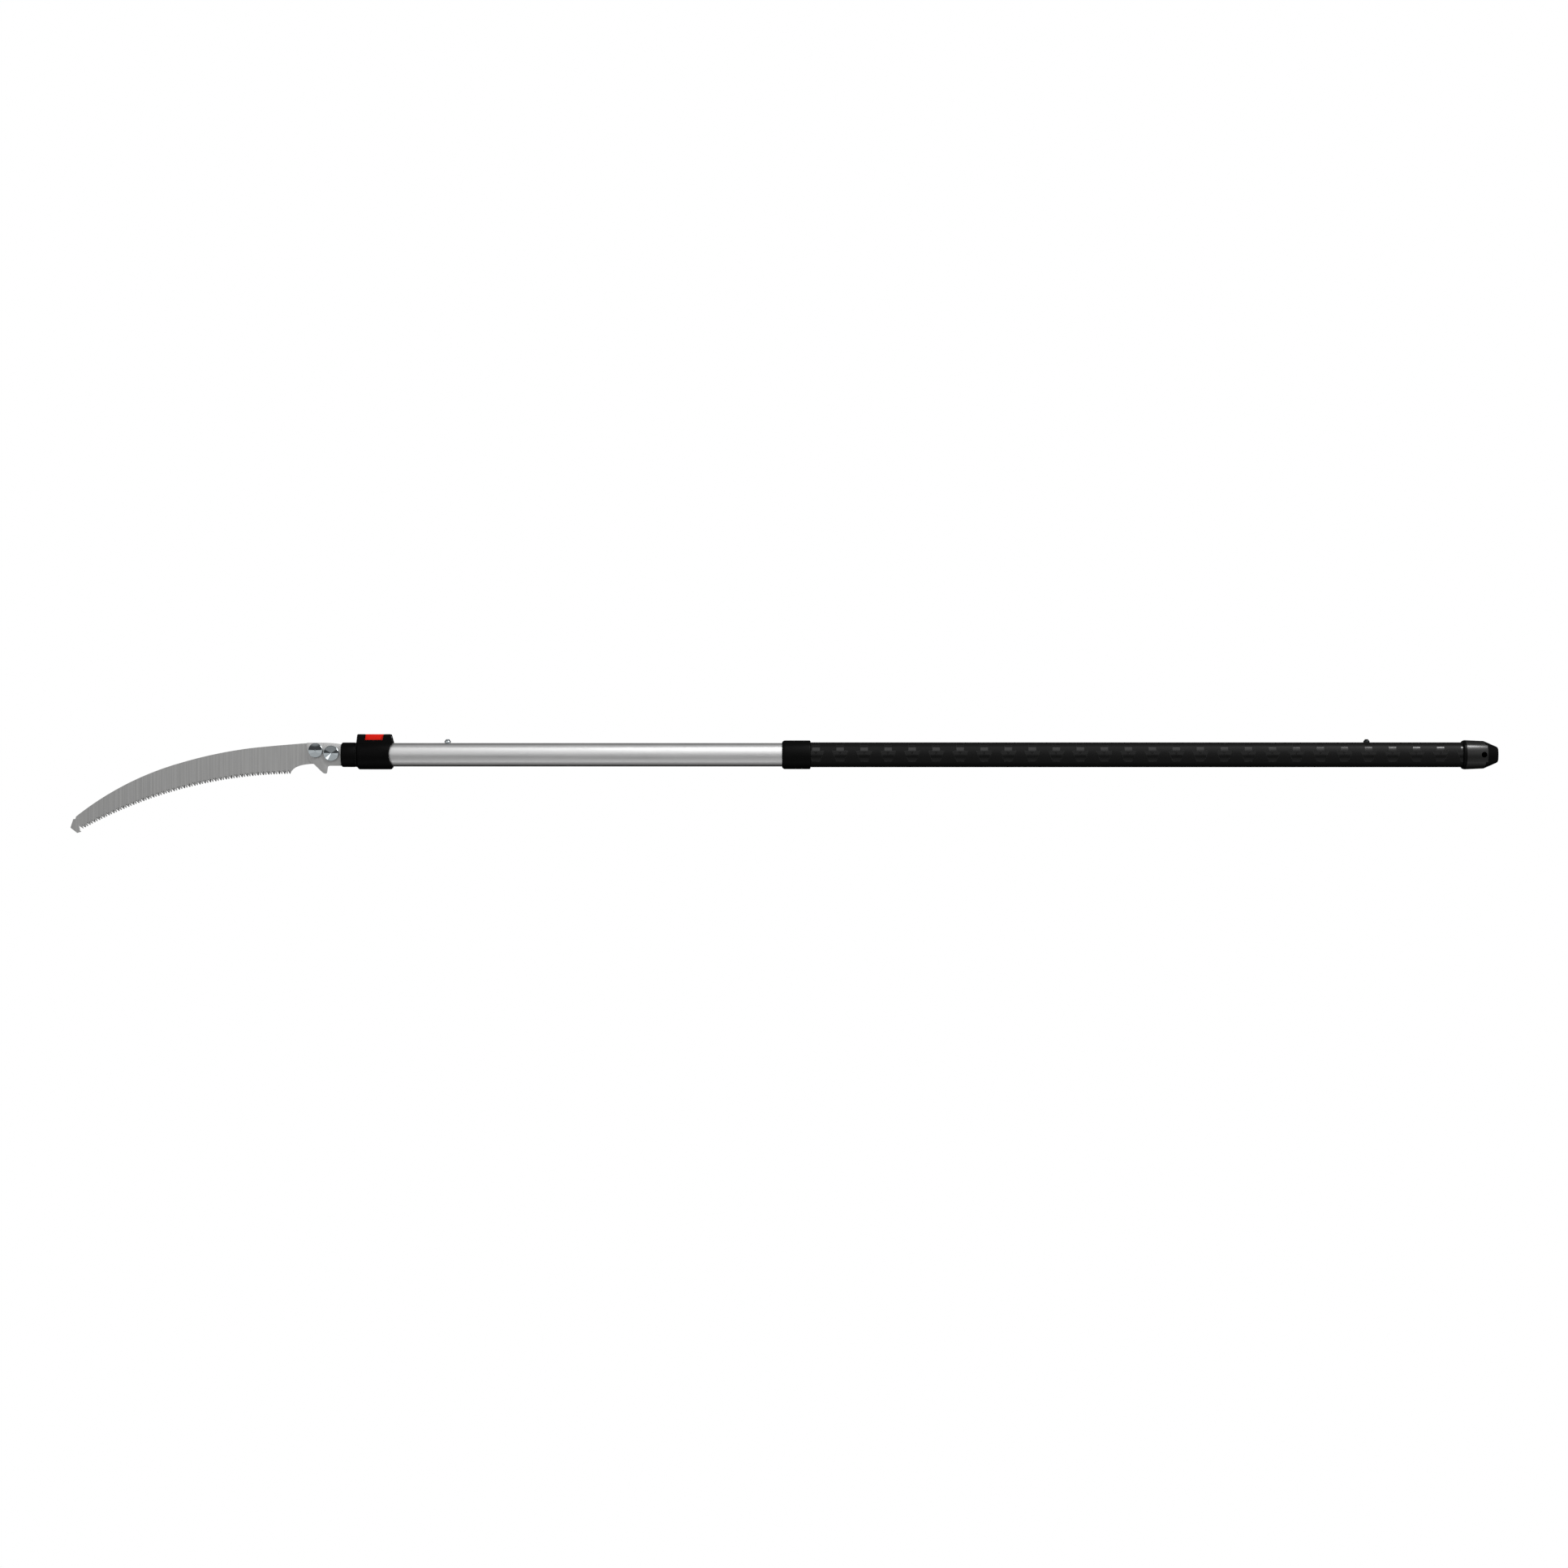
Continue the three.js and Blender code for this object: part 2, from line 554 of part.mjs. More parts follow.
function releaseLever() {
  const { x, z, halfWidth, skin, top, pinRadius, nose } = LEVER;
  const side = outline([
    [-1983.3, 24.6], [x - 5, 24.6], [x - 3, 21.4], [x + 3, 21.4], [x + 5, 24.6], [-1952.8, 24.9],
    [-1950.2, top - 0.8], [-1951, top], [-1981, top], [-1981.9, top - 0.8],
  ]);
  const hollow = outline([[-1981.2, 15], [-1954.8, 15], [-1953.6, top - skin], [-1980.4, top - skin]]);
  const arm = outline([
    [-1981.6, 22.6], [-1981.6, 29], [-1982.6, 29], [-1983.8, z + nose],
    [LOCK.x, z + nose], [LOCK.x, z - nose], [-1983.8, z - nose],
  ]);
  const inner = halfWidth - skin;
  const arms = [-1, 1].map((sideSign) => {
    const [from, to] = sideSign < 0 ? [-5.2, -2.9] : [2.9, 5.2];
    return union(plate(arm, from, to), rodY(LOCK.x, z, nose, from, to, 16));
  });
  const shell = plate(side, -halfWidth, halfWidth);
  const body = cut(
    union(cut(shell, plate(hollow, -inner, inner)), ...arms),
    rodY(x, z, pinRadius + 0.2, -20, 20),
  );
  return piece("release_lever", body, RED_PLASTIC);
}

function leverPivotPin() {
  const halfLength = HOUSING.halfWidth - 0.2;
  return piece("lever_pivot_pin", rodY(LEVER.x, LEVER.z, LEVER.pinRadius, -halfLength, halfLength, 16), ZINC);
}

function lockPin() {
  const { x, pinRadius, tip } = LOCK;
  const flange = LEVER.z + LEVER.nose + GAP;
  const top = flange + PIN_FLANGE.height;
  const profile = [
    [0, tip], [pinRadius - 0.8, tip], [pinRadius, tip + 1], [pinRadius, flange],
    [PIN_FLANGE.radius, flange], [PIN_FLANGE.radius, top], [1.8, top], [1.8, top + 2], [0, top + 2],
  ];
  return piece("lock_pin", turnedZ(x, profile), ZINC);
}

class Helix extends THREE.Curve {
  getPoint(t, target = new THREE.Vector3()) {
    const angle = 2 * Math.PI * SPRING.turns * t;
    const height = SPRING.bottom + (SPRING.top - SPRING.bottom) * t;
    return target.set(LOCK.x + SPRING.radius * Math.cos(angle), SPRING.radius * Math.sin(angle), height);
  }
}

function lockSpring() {
  const wire = new THREE.Shape();
  wire.absarc(0, 0, SPRING.wire, 0, 2 * Math.PI, false);
  const settings = { steps: 14 * SPRING.turns, curveSegments: 3, extrudePath: new Helix() };
  return piece("lock_spring", solid(new THREE.ExtrudeGeometry(wire, settings)), ZINC);
}

// ---------- The grip end ----------

function gripCuff() {
  const { front, rear, offset, step } = CUFF;
  const overGrip = GRIP.offset + GAP;
  const body = ovalSolid([
    [front, GAP], [front, 0.9], [front + 1.4, 3], [front + 3, 4.1], [front + 5.5, offset],
    [rear - 2, offset], [rear - 0.4, offset - 1.2], [rear, offset - 2.6], [rear, overGrip],
    [step, overGrip], [step, GAP], [front, GAP],
  ]);
  return piece("grip_cuff", body, BLACK_PLASTIC);
}

function gripSleeve() {
  const body = ovalTube(GRIP.front, GRIP.rear, GRIP.offset, GAP);
  return piece("grip_sleeve", cut(body, rodZ(STOP_SCREW.rear, STOP_SCREW.head + GAP, 8, 30, 28)), RUBBER);
}

function endCap() {
  const overGrip = GRIP.offset + GAP;
  const body = ovalSolid([
    [0, AXIS], [0, -10], [-0.9, -7.9], [-3.5, -6], [CAP.shoulder, 3.6], [CAP.lip, 5.1],
    [CAP.lip - 3, 4.2], [CAP.front, 2], [CAP.front, overGrip], [GRIP.rear + GAP, overGrip],
    [GRIP.rear + GAP, GAP], [CAP.tubeStop, GAP], [CAP.tubeStop, BUSH_OUTER],
    [CAP.spigot, BUSH_OUTER], [CAP.spigot, -5], [-40, -5], [-40, AXIS],
  ]);
  return piece("end_cap", cut(body, rodY(CAP.hole, 0, CAP.holeRadius, -30, 30, 28)), CAP_RUBBER);
}

// ---------- The assembly ----------

const innerPole = new THREE.Group();
innerPole.add(
  sawBlade(),
  cheekPlate("hook_plate", true, -CHEEK_OUTSIDE, -CHEEK_INSIDE),
  cheekPlate("back_plate", false, CHEEK_INSIDE, CHEEK_OUTSIDE),
  spacerPlate(),
  headBolt("pivot_bolt", PIVOT),
  headBolt("clamp_bolt", CLAMP),
  flangeNut("pivot_nut", PIVOT),
  flangeNut("clamp_nut", CLAMP),
  headInsert(),
  headRivet("head_rivet_front", HEAD_RIVETS[0]),
  headRivet("head_rivet_rear", HEAD_RIVETS[1]),
  headFerrule(),
  innerTube(),
  stopSleeve(),
  glidePin("stop_sleeve_pin", SLEEVE_PIN_X),
  rearGlide(),
  glidePin("rear_glide_pin", PLUG_PIN_X),
);

const outerPole = new THREE.Group();
outerPole.add(
  outerTube(),
  stopScrew("front_stop_screw", STOP_SCREW.front),
  stopScrew("rear_stop_screw", STOP_SCREW.rear),
  guideBush(),
  wiperRing(),
  collarHousing(),
  collarScrew("collar_screw_upper", COLLAR_SCREW.z),
  collarScrew("collar_screw_lower", -COLLAR_SCREW.z),
  travelStopScrew(),
  leverPivotPin(),
  lockSpring(),
  gripCuff(),
  gripSleeve(),
  endCap(),
);

const lock = new THREE.Group();
lock.add(releaseLever(), lockPin());

const group = new THREE.Group();
group.add(innerPole, outerPole, lock);

export default group;
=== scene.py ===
"""Telescoping pole saw: the fine model of a two-section pole saw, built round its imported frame.

Metres, Z up. The origin is the centre of the butt's end face, the blade is at -X, bolt heads face -Y.
"""

import math

import bmesh
import bpy
from mathutils import Matrix, Vector


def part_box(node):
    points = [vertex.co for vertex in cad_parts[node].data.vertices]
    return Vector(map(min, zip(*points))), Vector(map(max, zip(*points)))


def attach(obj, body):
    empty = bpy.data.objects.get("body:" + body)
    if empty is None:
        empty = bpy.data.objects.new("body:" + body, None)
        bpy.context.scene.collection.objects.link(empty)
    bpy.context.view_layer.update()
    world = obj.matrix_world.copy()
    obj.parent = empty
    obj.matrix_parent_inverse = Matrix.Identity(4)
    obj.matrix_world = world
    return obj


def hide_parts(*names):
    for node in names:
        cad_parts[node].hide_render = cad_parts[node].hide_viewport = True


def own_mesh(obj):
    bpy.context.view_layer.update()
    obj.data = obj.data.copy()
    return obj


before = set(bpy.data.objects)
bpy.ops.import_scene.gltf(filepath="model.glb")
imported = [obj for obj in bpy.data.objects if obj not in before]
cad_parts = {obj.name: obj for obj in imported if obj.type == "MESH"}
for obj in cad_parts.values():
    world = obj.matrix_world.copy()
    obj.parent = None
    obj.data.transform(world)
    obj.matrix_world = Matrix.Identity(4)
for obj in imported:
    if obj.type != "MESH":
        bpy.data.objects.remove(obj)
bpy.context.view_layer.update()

bl_info = {
    "name": "Telescoping Pole Saw",
    "version": (1, 0, 0),
    "blender": (4, 5, 0),
    "location": "View3D > Sidebar > Pole Saw",
    "description": "Builds the visual model of a telescoping pole saw round its frame",
    "category": "Add Mesh",
}

MM = 0.001
MERGE = 0.002 * MM

# ---------- The pole's oval ----------
# Four arcs: two round ends and two flatter sides. Walls, bushes and covers are offsets of it, in millimetres
# outside the outer tube's surface.

TUBE_LOW, TUBE_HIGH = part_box("outer_tube")
HALF_WIDTH = TUBE_HIGH.y / MM
HALF_HEIGHT = TUBE_HIGH.z / MM
END_RADIUS = 14.0
END_CENTRE = HALF_HEIGHT - END_RADIUS
SIDE_RADIUS = (HALF_WIDTH**2 + END_CENTRE**2 - END_RADIUS**2) / (2 * (HALF_WIDTH - END_RADIUS))
SIDE_CENTRE = SIDE_RADIUS - HALF_WIDTH
SIDE_HALF_ANGLE = math.atan2(END_CENTRE, SIDE_CENTRE)

WALL = 1.5
INNER_OFFSET = -3.5
GRIP_OFFSET = 1.2
OVER_GRIP = GRIP_OFFSET + 0.3
DEEP = -12  # an offset well inside the pole, where the profile of a solid may end


def edge_of(node, side):
    """The lowest or highest X of a node, in millimetres."""
    low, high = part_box(node)
    return (low if side == "front" else high).x / MM


def middle_of(node):
    """The middle of a node along X, in millimetres."""
    low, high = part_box(node)
    return (low.x + high.x) / 2 / MM


# ---------- Sizes, finishes and stage settings ----------


class PoleSawSizes(bpy.types.PropertyGroup):
    """Sizes that a maker would change"""

    tooth_count: bpy.props.IntProperty(
        name="Teeth", description="Number of teeth on the blade", default=82, min=10, max=120
    )
    tooth_depth: bpy.props.FloatProperty(
        name="Tooth depth", description="Depth of a gullet below the tips", default=6.8 * MM, unit="LENGTH"
    )
    tooth_skew: bpy.props.FloatProperty(
        name="Tooth skew", description="Sideways skew of a gullet through the blade", default=1.25 * MM,
        unit="LENGTH",
    )
    plate_chamfer: bpy.props.FloatProperty(
        name="Plate chamfer", description="Chamfer round the cheek plates", default=0.5 * MM, unit="LENGTH"
    )
    relief_depth: bpy.props.FloatProperty(
        name="Relief depth", description="Depth of the grip's moulded figures", default=0.55 * MM,
        unit="LENGTH",
    )
    relief_pitch: bpy.props.FloatProperty(
        name="Relief pitch", description="Distance between the grip's figures", default=41.96 * MM,
        unit="LENGTH",
    )
    relief_count: bpy.props.IntProperty(
        name="Relief figures", description="Number of figures along the grip", default=28, min=1, max=40
    )
    lever_ribs: bpy.props.IntProperty(
        name="Lever ribs", description="Grooves moulded across the lever's pressing end", default=5,
        min=0, max=9,
    )


class PoleSawFinishes(bpy.types.PropertyGroup):
    """Colours that a maker would change"""

    blade_steel: bpy.props.FloatVectorProperty(
        name="Blade steel", description="Ground blade", subtype="COLOR", size=4, min=0, max=1,
        default=(0.53, 0.53, 0.525, 1),
    )
    plate_steel: bpy.props.FloatVectorProperty(
        name="Plate steel", description="Blasted cheek plates", subtype="COLOR", size=4, min=0, max=1,
        default=(0.58, 0.58, 0.575, 1),
    )
    chrome: bpy.props.FloatVectorProperty(
        name="Chrome", description="Bolts and domed screws", subtype="COLOR", size=4, min=0, max=1,
        default=(0.44, 0.48, 0.5, 1),
    )
    zinc: bpy.props.FloatVectorProperty(
        name="Zinc", description="Plated nuts, pins and rivets", subtype="COLOR", size=4, min=0, max=1,
        default=(0.45, 0.47, 0.49, 1),
    )
    aluminium: bpy.props.FloatVectorProperty(
        name="Aluminium", description="Anodised tubes", subtype="COLOR", size=4, min=0, max=1,
        default=(0.72, 0.72, 0.72, 1),
    )
    plastic: bpy.props.FloatVectorProperty(
        name="Black plastic", description="Collar, ferrule and cuff", subtype="COLOR", size=4, min=0, max=1,
        default=(0.0015, 0.0015, 0.0015, 1),
    )
    nylon: bpy.props.FloatVectorProperty(
        name="Nylon", description="Bushes and glides", subtype="COLOR", size=4, min=0, max=1,
        default=(0.03, 0.03, 0.032, 1),
    )
    rubber: bpy.props.FloatVectorProperty(
        name="Grip rubber", description="Moulded grip", subtype="COLOR", size=4, min=0, max=1,
        default=(0.004, 0.004, 0.0039, 1),
    )
    cap_rubber: bpy.props.FloatVectorProperty(
        name="Cap rubber", description="End cap", subtype="COLOR", size=4, min=0, max=1,
        default=(0.006, 0.006, 0.0058, 1),
    )
    red: bpy.props.FloatVectorProperty(
        name="Red plastic", description="Release lever", subtype="COLOR", size=4, min=0, max=1,
        default=(0.72, 0.012, 0.004, 1),
    )


class PoleSawStage(bpy.types.PropertyGroup):
    """Camera and lights"""

    lens: bpy.props.FloatProperty(
        name="Lens", description="Focal length on a 36 mm sensor", default=61.5, unit="CAMERA"
    )
    distance: bpy.props.FloatProperty(
        name="Distance", description="Camera's distance from the pole", default=4.693, unit="LENGTH"
    )
    floor_drop: bpy.props.FloatProperty(
        name="Floor drop", description="Height of the pole above the floor", default=0.9, unit="LENGTH"
    )
    key_power: bpy.props.FloatProperty(
        name="Key light", description="Power of the long soft box above the front", default=24.0, unit="POWER"
    )
    butt_power: bpy.props.FloatProperty(
        name="Butt light", description="Power of the small soft box above the butt", default=70.0,
        unit="POWER",
    )
    back_power: bpy.props.FloatProperty(
        name="Back light", description="Power of the soft box behind", default=3.0, unit="POWER"
    )


def sizes():
    return bpy.context.scene.pole_saw_sizes


def finishes():
    return bpy.context.scene.pole_saw_finishes


def stage_settings():
    return bpy.context.scene.pole_saw_stage


# ---------- Modelling helpers ----------


def deselect_all():
    if bpy.context.object and bpy.context.object.mode != "OBJECT":
        bpy.ops.object.mode_set(mode="OBJECT")
    bpy.ops.object.select_all(action="DESELECT")
    bpy.context.view_layer.objects.active = None


def choose(obj):
    deselect_all()
    obj.select_set(True)
    bpy.context.view_layer.objects.active = obj


def edit(obj, mode="VERT"):
    choose(obj)
    bpy.ops.object.mode_set(mode="EDIT")
    bpy.ops.mesh.select_mode(type=mode)


def done():
    bpy.ops.object.mode_set(mode="OBJECT")


def pick(kind, test):
    """In edit mode, selects the vertices, edges or faces for which the test is true, and nothing else."""
    mesh = bpy.context.object.data
    bm = bmesh.from_edit_mesh(mesh)
    bpy.ops.mesh.select_all(action="DESELECT")
    for element in getattr(bm, kind):
        if test(element):
            element.select_set(True)
    bm.select_flush_mode()
    bmesh.update_edit_mesh(mesh)


def tidy(obj):
    """Merges doubles and turns the faces outwards."""
    edit(obj)
    bpy.ops.mesh.select_all(action="SELECT")
    bpy.ops.mesh.remove_doubles(threshold=MERGE)
    bpy.ops.mesh.dissolve_degenerate(threshold=MERGE)
    bpy.ops.mesh.normals_make_consistent(inside=False)
    done()
    return obj


def chain(name, points, closed=False):
    """A line of vertices through points, in millimetres, made by extruding one vertex. Stays in edit mode."""
    deselect_all()
    bpy.ops.mesh.primitive_plane_add(size=MM, location=(0, 0, 0))
    obj = bpy.context.object
    obj.name = name
    obj.data.name = name
    bpy.ops.object.mode_set(mode="EDIT")
    bpy.ops.mesh.select_mode(type="VERT")
    bpy.ops.mesh.select_all(action="SELECT")
    bpy.ops.mesh.merge(type="CENTER")
    here = Vector(points[0]) * MM
    bpy.ops.transform.translate(value=here)
    for point in points[1:]:
        there = Vector(point) * MM
        bpy.ops.mesh.extrude_vertices_move(TRANSFORM_OT_translate={"value": there - here})
        here = there
    bpy.ops.mesh.select_all(action="SELECT")
    if closed:
        bpy.ops.mesh.remove_doubles(threshold=MERGE)
    return obj


def fill_rims():
    """In edit mode, closes every open rim with a face."""
    mesh = bpy.context.object.data
    while True:
        bm = bmesh.from_edit_mesh(mesh)
        start = next((e for e in bm.edges if e.is_boundary), None)
        if start is None:
            return
        rim, stack = set(), [start]
        while stack:
            found = stack.pop()
            if found in rim:
                continue
            rim.add(found)
            stack += [e for v in found.verts for e in v.link_edges if e.is_boundary]
        bpy.ops.mesh.select_all(action="DESELECT")
        for found in rim:
            found.select_set(True)
        bmesh.update_edit_mesh(mesh)
        bpy.ops.mesh.edge_face_add()


def close(obj):
    """Merges doubles, closes the rims and turns the faces outwards."""
    bpy.ops.mesh.select_all(action="SELECT")
    bpy.ops.mesh.remove_doubles(threshold=MERGE)
    bpy.ops.mesh.select_mode(type="EDGE")
    fill_rims()
    bpy.ops.mesh.select_all(action="SELECT")
    bpy.ops.mesh.normals_make_consistent(inside=False)
    done()
    return obj


def spin(steps, degrees, centre, axis):
    bpy.ops.mesh.spin(steps=steps, angle=-math.radians(degrees), center=Vector(centre) * MM, axis=axis)


def oval_offset(y, z):
    """How far a point lies outside the outer tube's surface, in millimetres."""
    y, z = abs(y), abs(z)
    if z - END_CENTRE > y * math.tan(SIDE_HALF_ANGLE):
        return math.hypot(y, z - END_CENTRE) - END_RADIUS
    return math.hypot(y + SIDE_CENTRE, z) - SIDE_RADIUS


def oval_turn(name, profile, fine=1.0):
    """A solid turned round the pole's oval from [x, offset] points, in four spins. An open profile is closed
    with flat ends; a ring's profile ends where it starts."""
    lean = math.degrees(SIDE_HALF_ANGLE)
    y, z = math.cos(SIDE_HALF_ANGLE), math.sin(SIDE_HALF_ANGLE)
    points = [
        (x, (END_RADIUS + off) * y, END_CENTRE + (END_RADIUS + off) * z) for x, off in profile
    ]
    obj = chain(name, points, closed=profile[0] == profile[-1])
    round_steps, side_steps = round(28 * fine), round(8 * fine)
    along = (1, 0, 0)
    spin(round_steps, 180 - 2 * lean, (0, 0, END_CENTRE), along)
    spin(side_steps, 2 * lean, (0, SIDE_CENTRE, 0), along)
    spin(round_steps, 180 - 2 * lean, (0, 0, -END_CENTRE), along)
    spin(side_steps, 2 * lean, (0, -SIDE_CENTRE, 0), along)
    return close(obj)


def turn(name, profile, centre, axis="Y", steps=48):
    """A round solid from [radius, height] points about an axis through centre, along X, Y or Z."""
    x, y, z = centre
    place = {
        "X": lambda radius, height: (height, y, z + radius),
        "Y": lambda radius, height: (x + radius, height, z),
        "Z": lambda radius, height: (x + radius, y, height),
    }[axis]
    obj = chain(name, [place(radius, height) for radius, height in profile], closed=profile[0] == profile[-1])
    spin(steps, 360, centre, {"X": (1, 0, 0), "Y": (0, 1, 0), "Z": (0, 0, 1)}[axis])
    return close(obj)


def plate(name, outline, near, far, back_shift=None):
    """A flat plate from an outline in X and Z, between two values of Y. Its far face can be shifted."""
    corners = [(x, near, z) for x, z in outline]
    obj = chain(name, corners + corners[:1], closed=True)
    bpy.ops.mesh.edge_face_add()
    bpy.ops.mesh.extrude_region_move(TRANSFORM_OT_translate={"value": (0, (far - near) * MM, 0)})
    if back_shift:
        bpy.ops.transform.translate(value=Vector((back_shift[0], 0, back_shift[1])) * MM)
    return close(obj)


def prism(name, section, front, rear):
    """A prism along X from a section in Y and Z."""
    corners = [(front, y, z) for y, z in section]
    obj = chain(name, corners + corners[:1], closed=True)
    bpy.ops.mesh.edge_face_add()
    bpy.ops.mesh.extrude_region_move(TRANSFORM_OT_translate={"value": ((rear - front) * MM, 0, 0)})
    return close(obj)


def block(name, low, high):
    """A box between two corners, in millimetres."""
    deselect_all()
    middle = (Vector(low) + Vector(high)) / 2 * MM
    bpy.ops.mesh.primitive_cube_add(size=1, location=middle)
    obj = bpy.context.object
    obj.name = name
    obj.scale = (Vector(high) - Vector(low)) * MM
    bpy.ops.object.transform_apply(location=True, rotation=True, scale=True)
    return obj


def rod(name, radius, start, end, sides=32):
    """A cylinder between two points that differ in X, Y or Z, in millimetres."""
    deselect_all()
    start, end = Vector(start) * MM, Vector(end) * MM
    way = end - start
    bpy.ops.mesh.primitive_cylinder_add(
        vertices=sides, radius=radius * MM, depth=way.length, location=(start + end) / 2,
        rotation=way.to_track_quat("Z", "Y").to_euler(),
    )
    obj = bpy.context.object
    obj.name = name
    bpy.ops.object.transform_apply(location=True, rotation=True, scale=True)
    return obj


def shape(obj, operation, *tools):
    """Cuts, joins or crosses a solid with tools, which are used up."""
    for tool in tools:
        choose(obj)
        modifier = obj.modifiers.new(operation.lower(), "BOOLEAN")
        modifier.operation = operation
        modifier.solver = "EXACT"
        modifier.object = tool
        bpy.ops.object.modifier_apply(modifier=modifier.name)
        bpy.data.objects.remove(tool)
    return obj


def cut(obj, *tools):
    return shape(obj, "DIFFERENCE", *tools)


def join(obj, *tools):
    return shape(obj, "UNION", *tools)


def cross(obj, *tools):
    return shape(obj, "INTERSECT", *tools)


def gather(name, objects):
    """One object from several solids that don't meet."""
    deselect_all()
    for obj in objects:
        obj.select_set(True)
    bpy.context.view_layer.objects.active = objects[0]
    bpy.ops.object.join()
    bpy.context.object.name = name
    return bpy.context.object


def repeat(obj, shifts):
    """Copies of obj, each with its own mesh, moved by each shift in millimetres or placed by each matrix."""
    copies = []
    for shift in shifts:
        choose(obj)
        bpy.ops.object.duplicate(linked=False)
        copy = bpy.context.object
        if isinstance(shift, Matrix):
            copy.matrix_world = shift
        else:
            copy.location = Vector(shift) * MM
        bpy.ops.object.transform_apply(location=True, rotation=True, scale=True)
        copies.append(copy)
    return copies


def bevel_edges(obj, width, segments, test):
    """Rounds the edges for which the test is true. Width is in millimetres."""
    edit(obj, "EDGE")
    pick("edges", test)
    bpy.ops.mesh.bevel(offset=width * MM, segments=segments, profile=0.5, clamp_overlap=True)
    done()
    return obj


def sharp(edge, degrees=30):
    return len(edge.link_faces) == 2 and edge.calc_face_angle(0) > math.radians(degrees)


def round_off(obj, width, segments=2, degrees=32):
    """A small rounding on every sharp edge, by a modifier that is applied."""
    choose(obj)
    modifier = obj.modifiers.new("round", "BEVEL")
    modifier.width = width * MM
    modifier.segments = segments
    modifier.limit_method = "ANGLE"
    modifier.angle_limit = math.radians(degrees)
    modifier.use_clamp_overlap = True
    bpy.ops.object.modifier_apply(modifier=modifier.name)
    return obj


def settle(obj, body, slot, material, *nodes, smooth=35, name=None):
    """Finishes a piece: smooth faces between sharp edges, material, body and the nodes it stands for."""
    tidy(obj)
    choose(obj)
    bpy.ops.object.shade_smooth_by_angle(angle=math.radians(smooth), keep_sharp_edges=False)
    obj.name = name or nodes[0] + "_fine"
    obj.data.name = obj.name
    obj.data.materials.clear()
    obj.data.materials.append(material)
    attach(obj, body)
    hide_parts(*nodes)
    deselect_all()
    return obj


def paint_faces(obj, material, test):
    """Gives a second material to the faces for which the test is true."""
    obj.data.materials.append(material)
    last = len(obj.data.materials) - 1
    for face in obj.data.polygons:
        if test(face):
            face.material_index = last
    return obj


# ---------- Outline helpers ----------


def arc_points(centre, radius, start, end, steps):
    """Points on an arc in degrees, without its first point."""
    x, z = centre
    angles = [math.radians(start + (end - start) * i / steps) for i in range(1, steps + 1)]
    return [(x + radius * math.cos(a), z + radius * math.sin(a)) for a in angles]


def curve_points(start, control, end, steps=8):
    """Points on a quadratic curve, without its first point."""
    points = []
    for i in range(1, steps + 1):
        t = i / steps
        points.append(tuple(
            (1 - t) ** 2 * a + 2 * t * (1 - t) * b + t * t * c for a, b, c in zip(start, control, end)
        ))
    return points


def bezier_points(start, first, second, end, steps=12):
    """Points on a cubic curve, without its first point."""
    points = []
    for i in range(1, steps + 1):
        t = i / steps
        s = 1 - t
        points.append(tuple(
            s**3 * a + 3 * s * s * t * b + 3 * s * t * t * c + t**3 * d
            for a, b, c, d in zip(start, first, second, end)
        ))
    return points


def degrees_at(arc, x):
    """Angle of the point of an arc (x, z, radius) at an x, above the arc's centre."""
    return math.degrees(math.acos((x - arc[0]) / arc[2]))


# ---------- Shader groups and materials ----------


def new_group(name, inputs, outputs):
    """A shader node group with named float or vector inputs and outputs, and its two end nodes."""
    tree = bpy.data.node_groups.new(name, "ShaderNodeTree")
    for label, default in inputs:
        kind = "NodeSocketVector" if isinstance(default, tuple) else "NodeSocketFloat"
        socket = tree.interface.new_socket(name=label, in_out="INPUT", socket_type=kind)
        socket.default_value = default
    for label in outputs:
        tree.interface.new_socket(name=label, in_out="OUTPUT", socket_type="NodeSocketFloat")
    return tree, tree.nodes.new("NodeGroupInput"), tree.nodes.new("NodeGroupOutput")


def add(tree, kind, inputs=None, **settings):
    """A node with its settings, whose inputs are given as values or as sockets to link."""
    node = tree.nodes.new("ShaderNode" + kind)
    for key, value in settings.items():
        setattr(node, key, value)
    for key, value in (inputs or {}).items():
        if isinstance(value, bpy.types.NodeSocket):
            tree.links.new(value, node.inputs[key])
        else:
            node.inputs[key].default_value = value
    return node


def calc(tree, operation, a, b=0.0, clamp=False):
    return add(tree, "Math", {0: a, 1: b}, operation=operation, use_clamp=clamp).outputs[0]


def object_noise(tree, scale_by, detail=3.0, roughness=0.6):
    """Noise on object coordinates stretched by a vector, as a value round 0.5."""
    place = add(tree, "TexCoord").outputs["Object"]
    stretched = add(tree, "VectorMath", {0: place, 1: scale_by}, operation="MULTIPLY").outputs[0]
    noise = {"Vector": stretched, "Scale": 1.0, "Detail": detail, "Roughness": roughness}
    return add(tree, "TexNoise", noise).outputs["Fac"]


def brushing_group():
    """Fine parallel lines, as left by grinding, drawing or brushing."""
    tree, given, result = new_group("line_brushing", [("Lines", (900.0, 900.0, 6.0))], ["Shade", "Height"])
    fine = object_noise(tree, given.outputs["Lines"], 2.0, 0.7)
    third = add(tree, "VectorMath", {0: given.outputs["Lines"], 1: (0.23, 0.23, 0.23)}, operation="MULTIPLY")
    broad = object_noise(tree, third.outputs[0], 4.0, 0.75)
    both = calc(tree, "ADD", calc(tree, "MULTIPLY", fine, 0.45), calc(tree, "MULTIPLY", broad, 0.55))
    spread = add(tree, "MapRange", {0: both, 1: 0.36, 2: 0.64}, clamp=True).outputs[0]
    tree.links.new(spread, result.inputs["Shade"])
    tree.links.new(fine, result.inputs["Height"])
    return tree


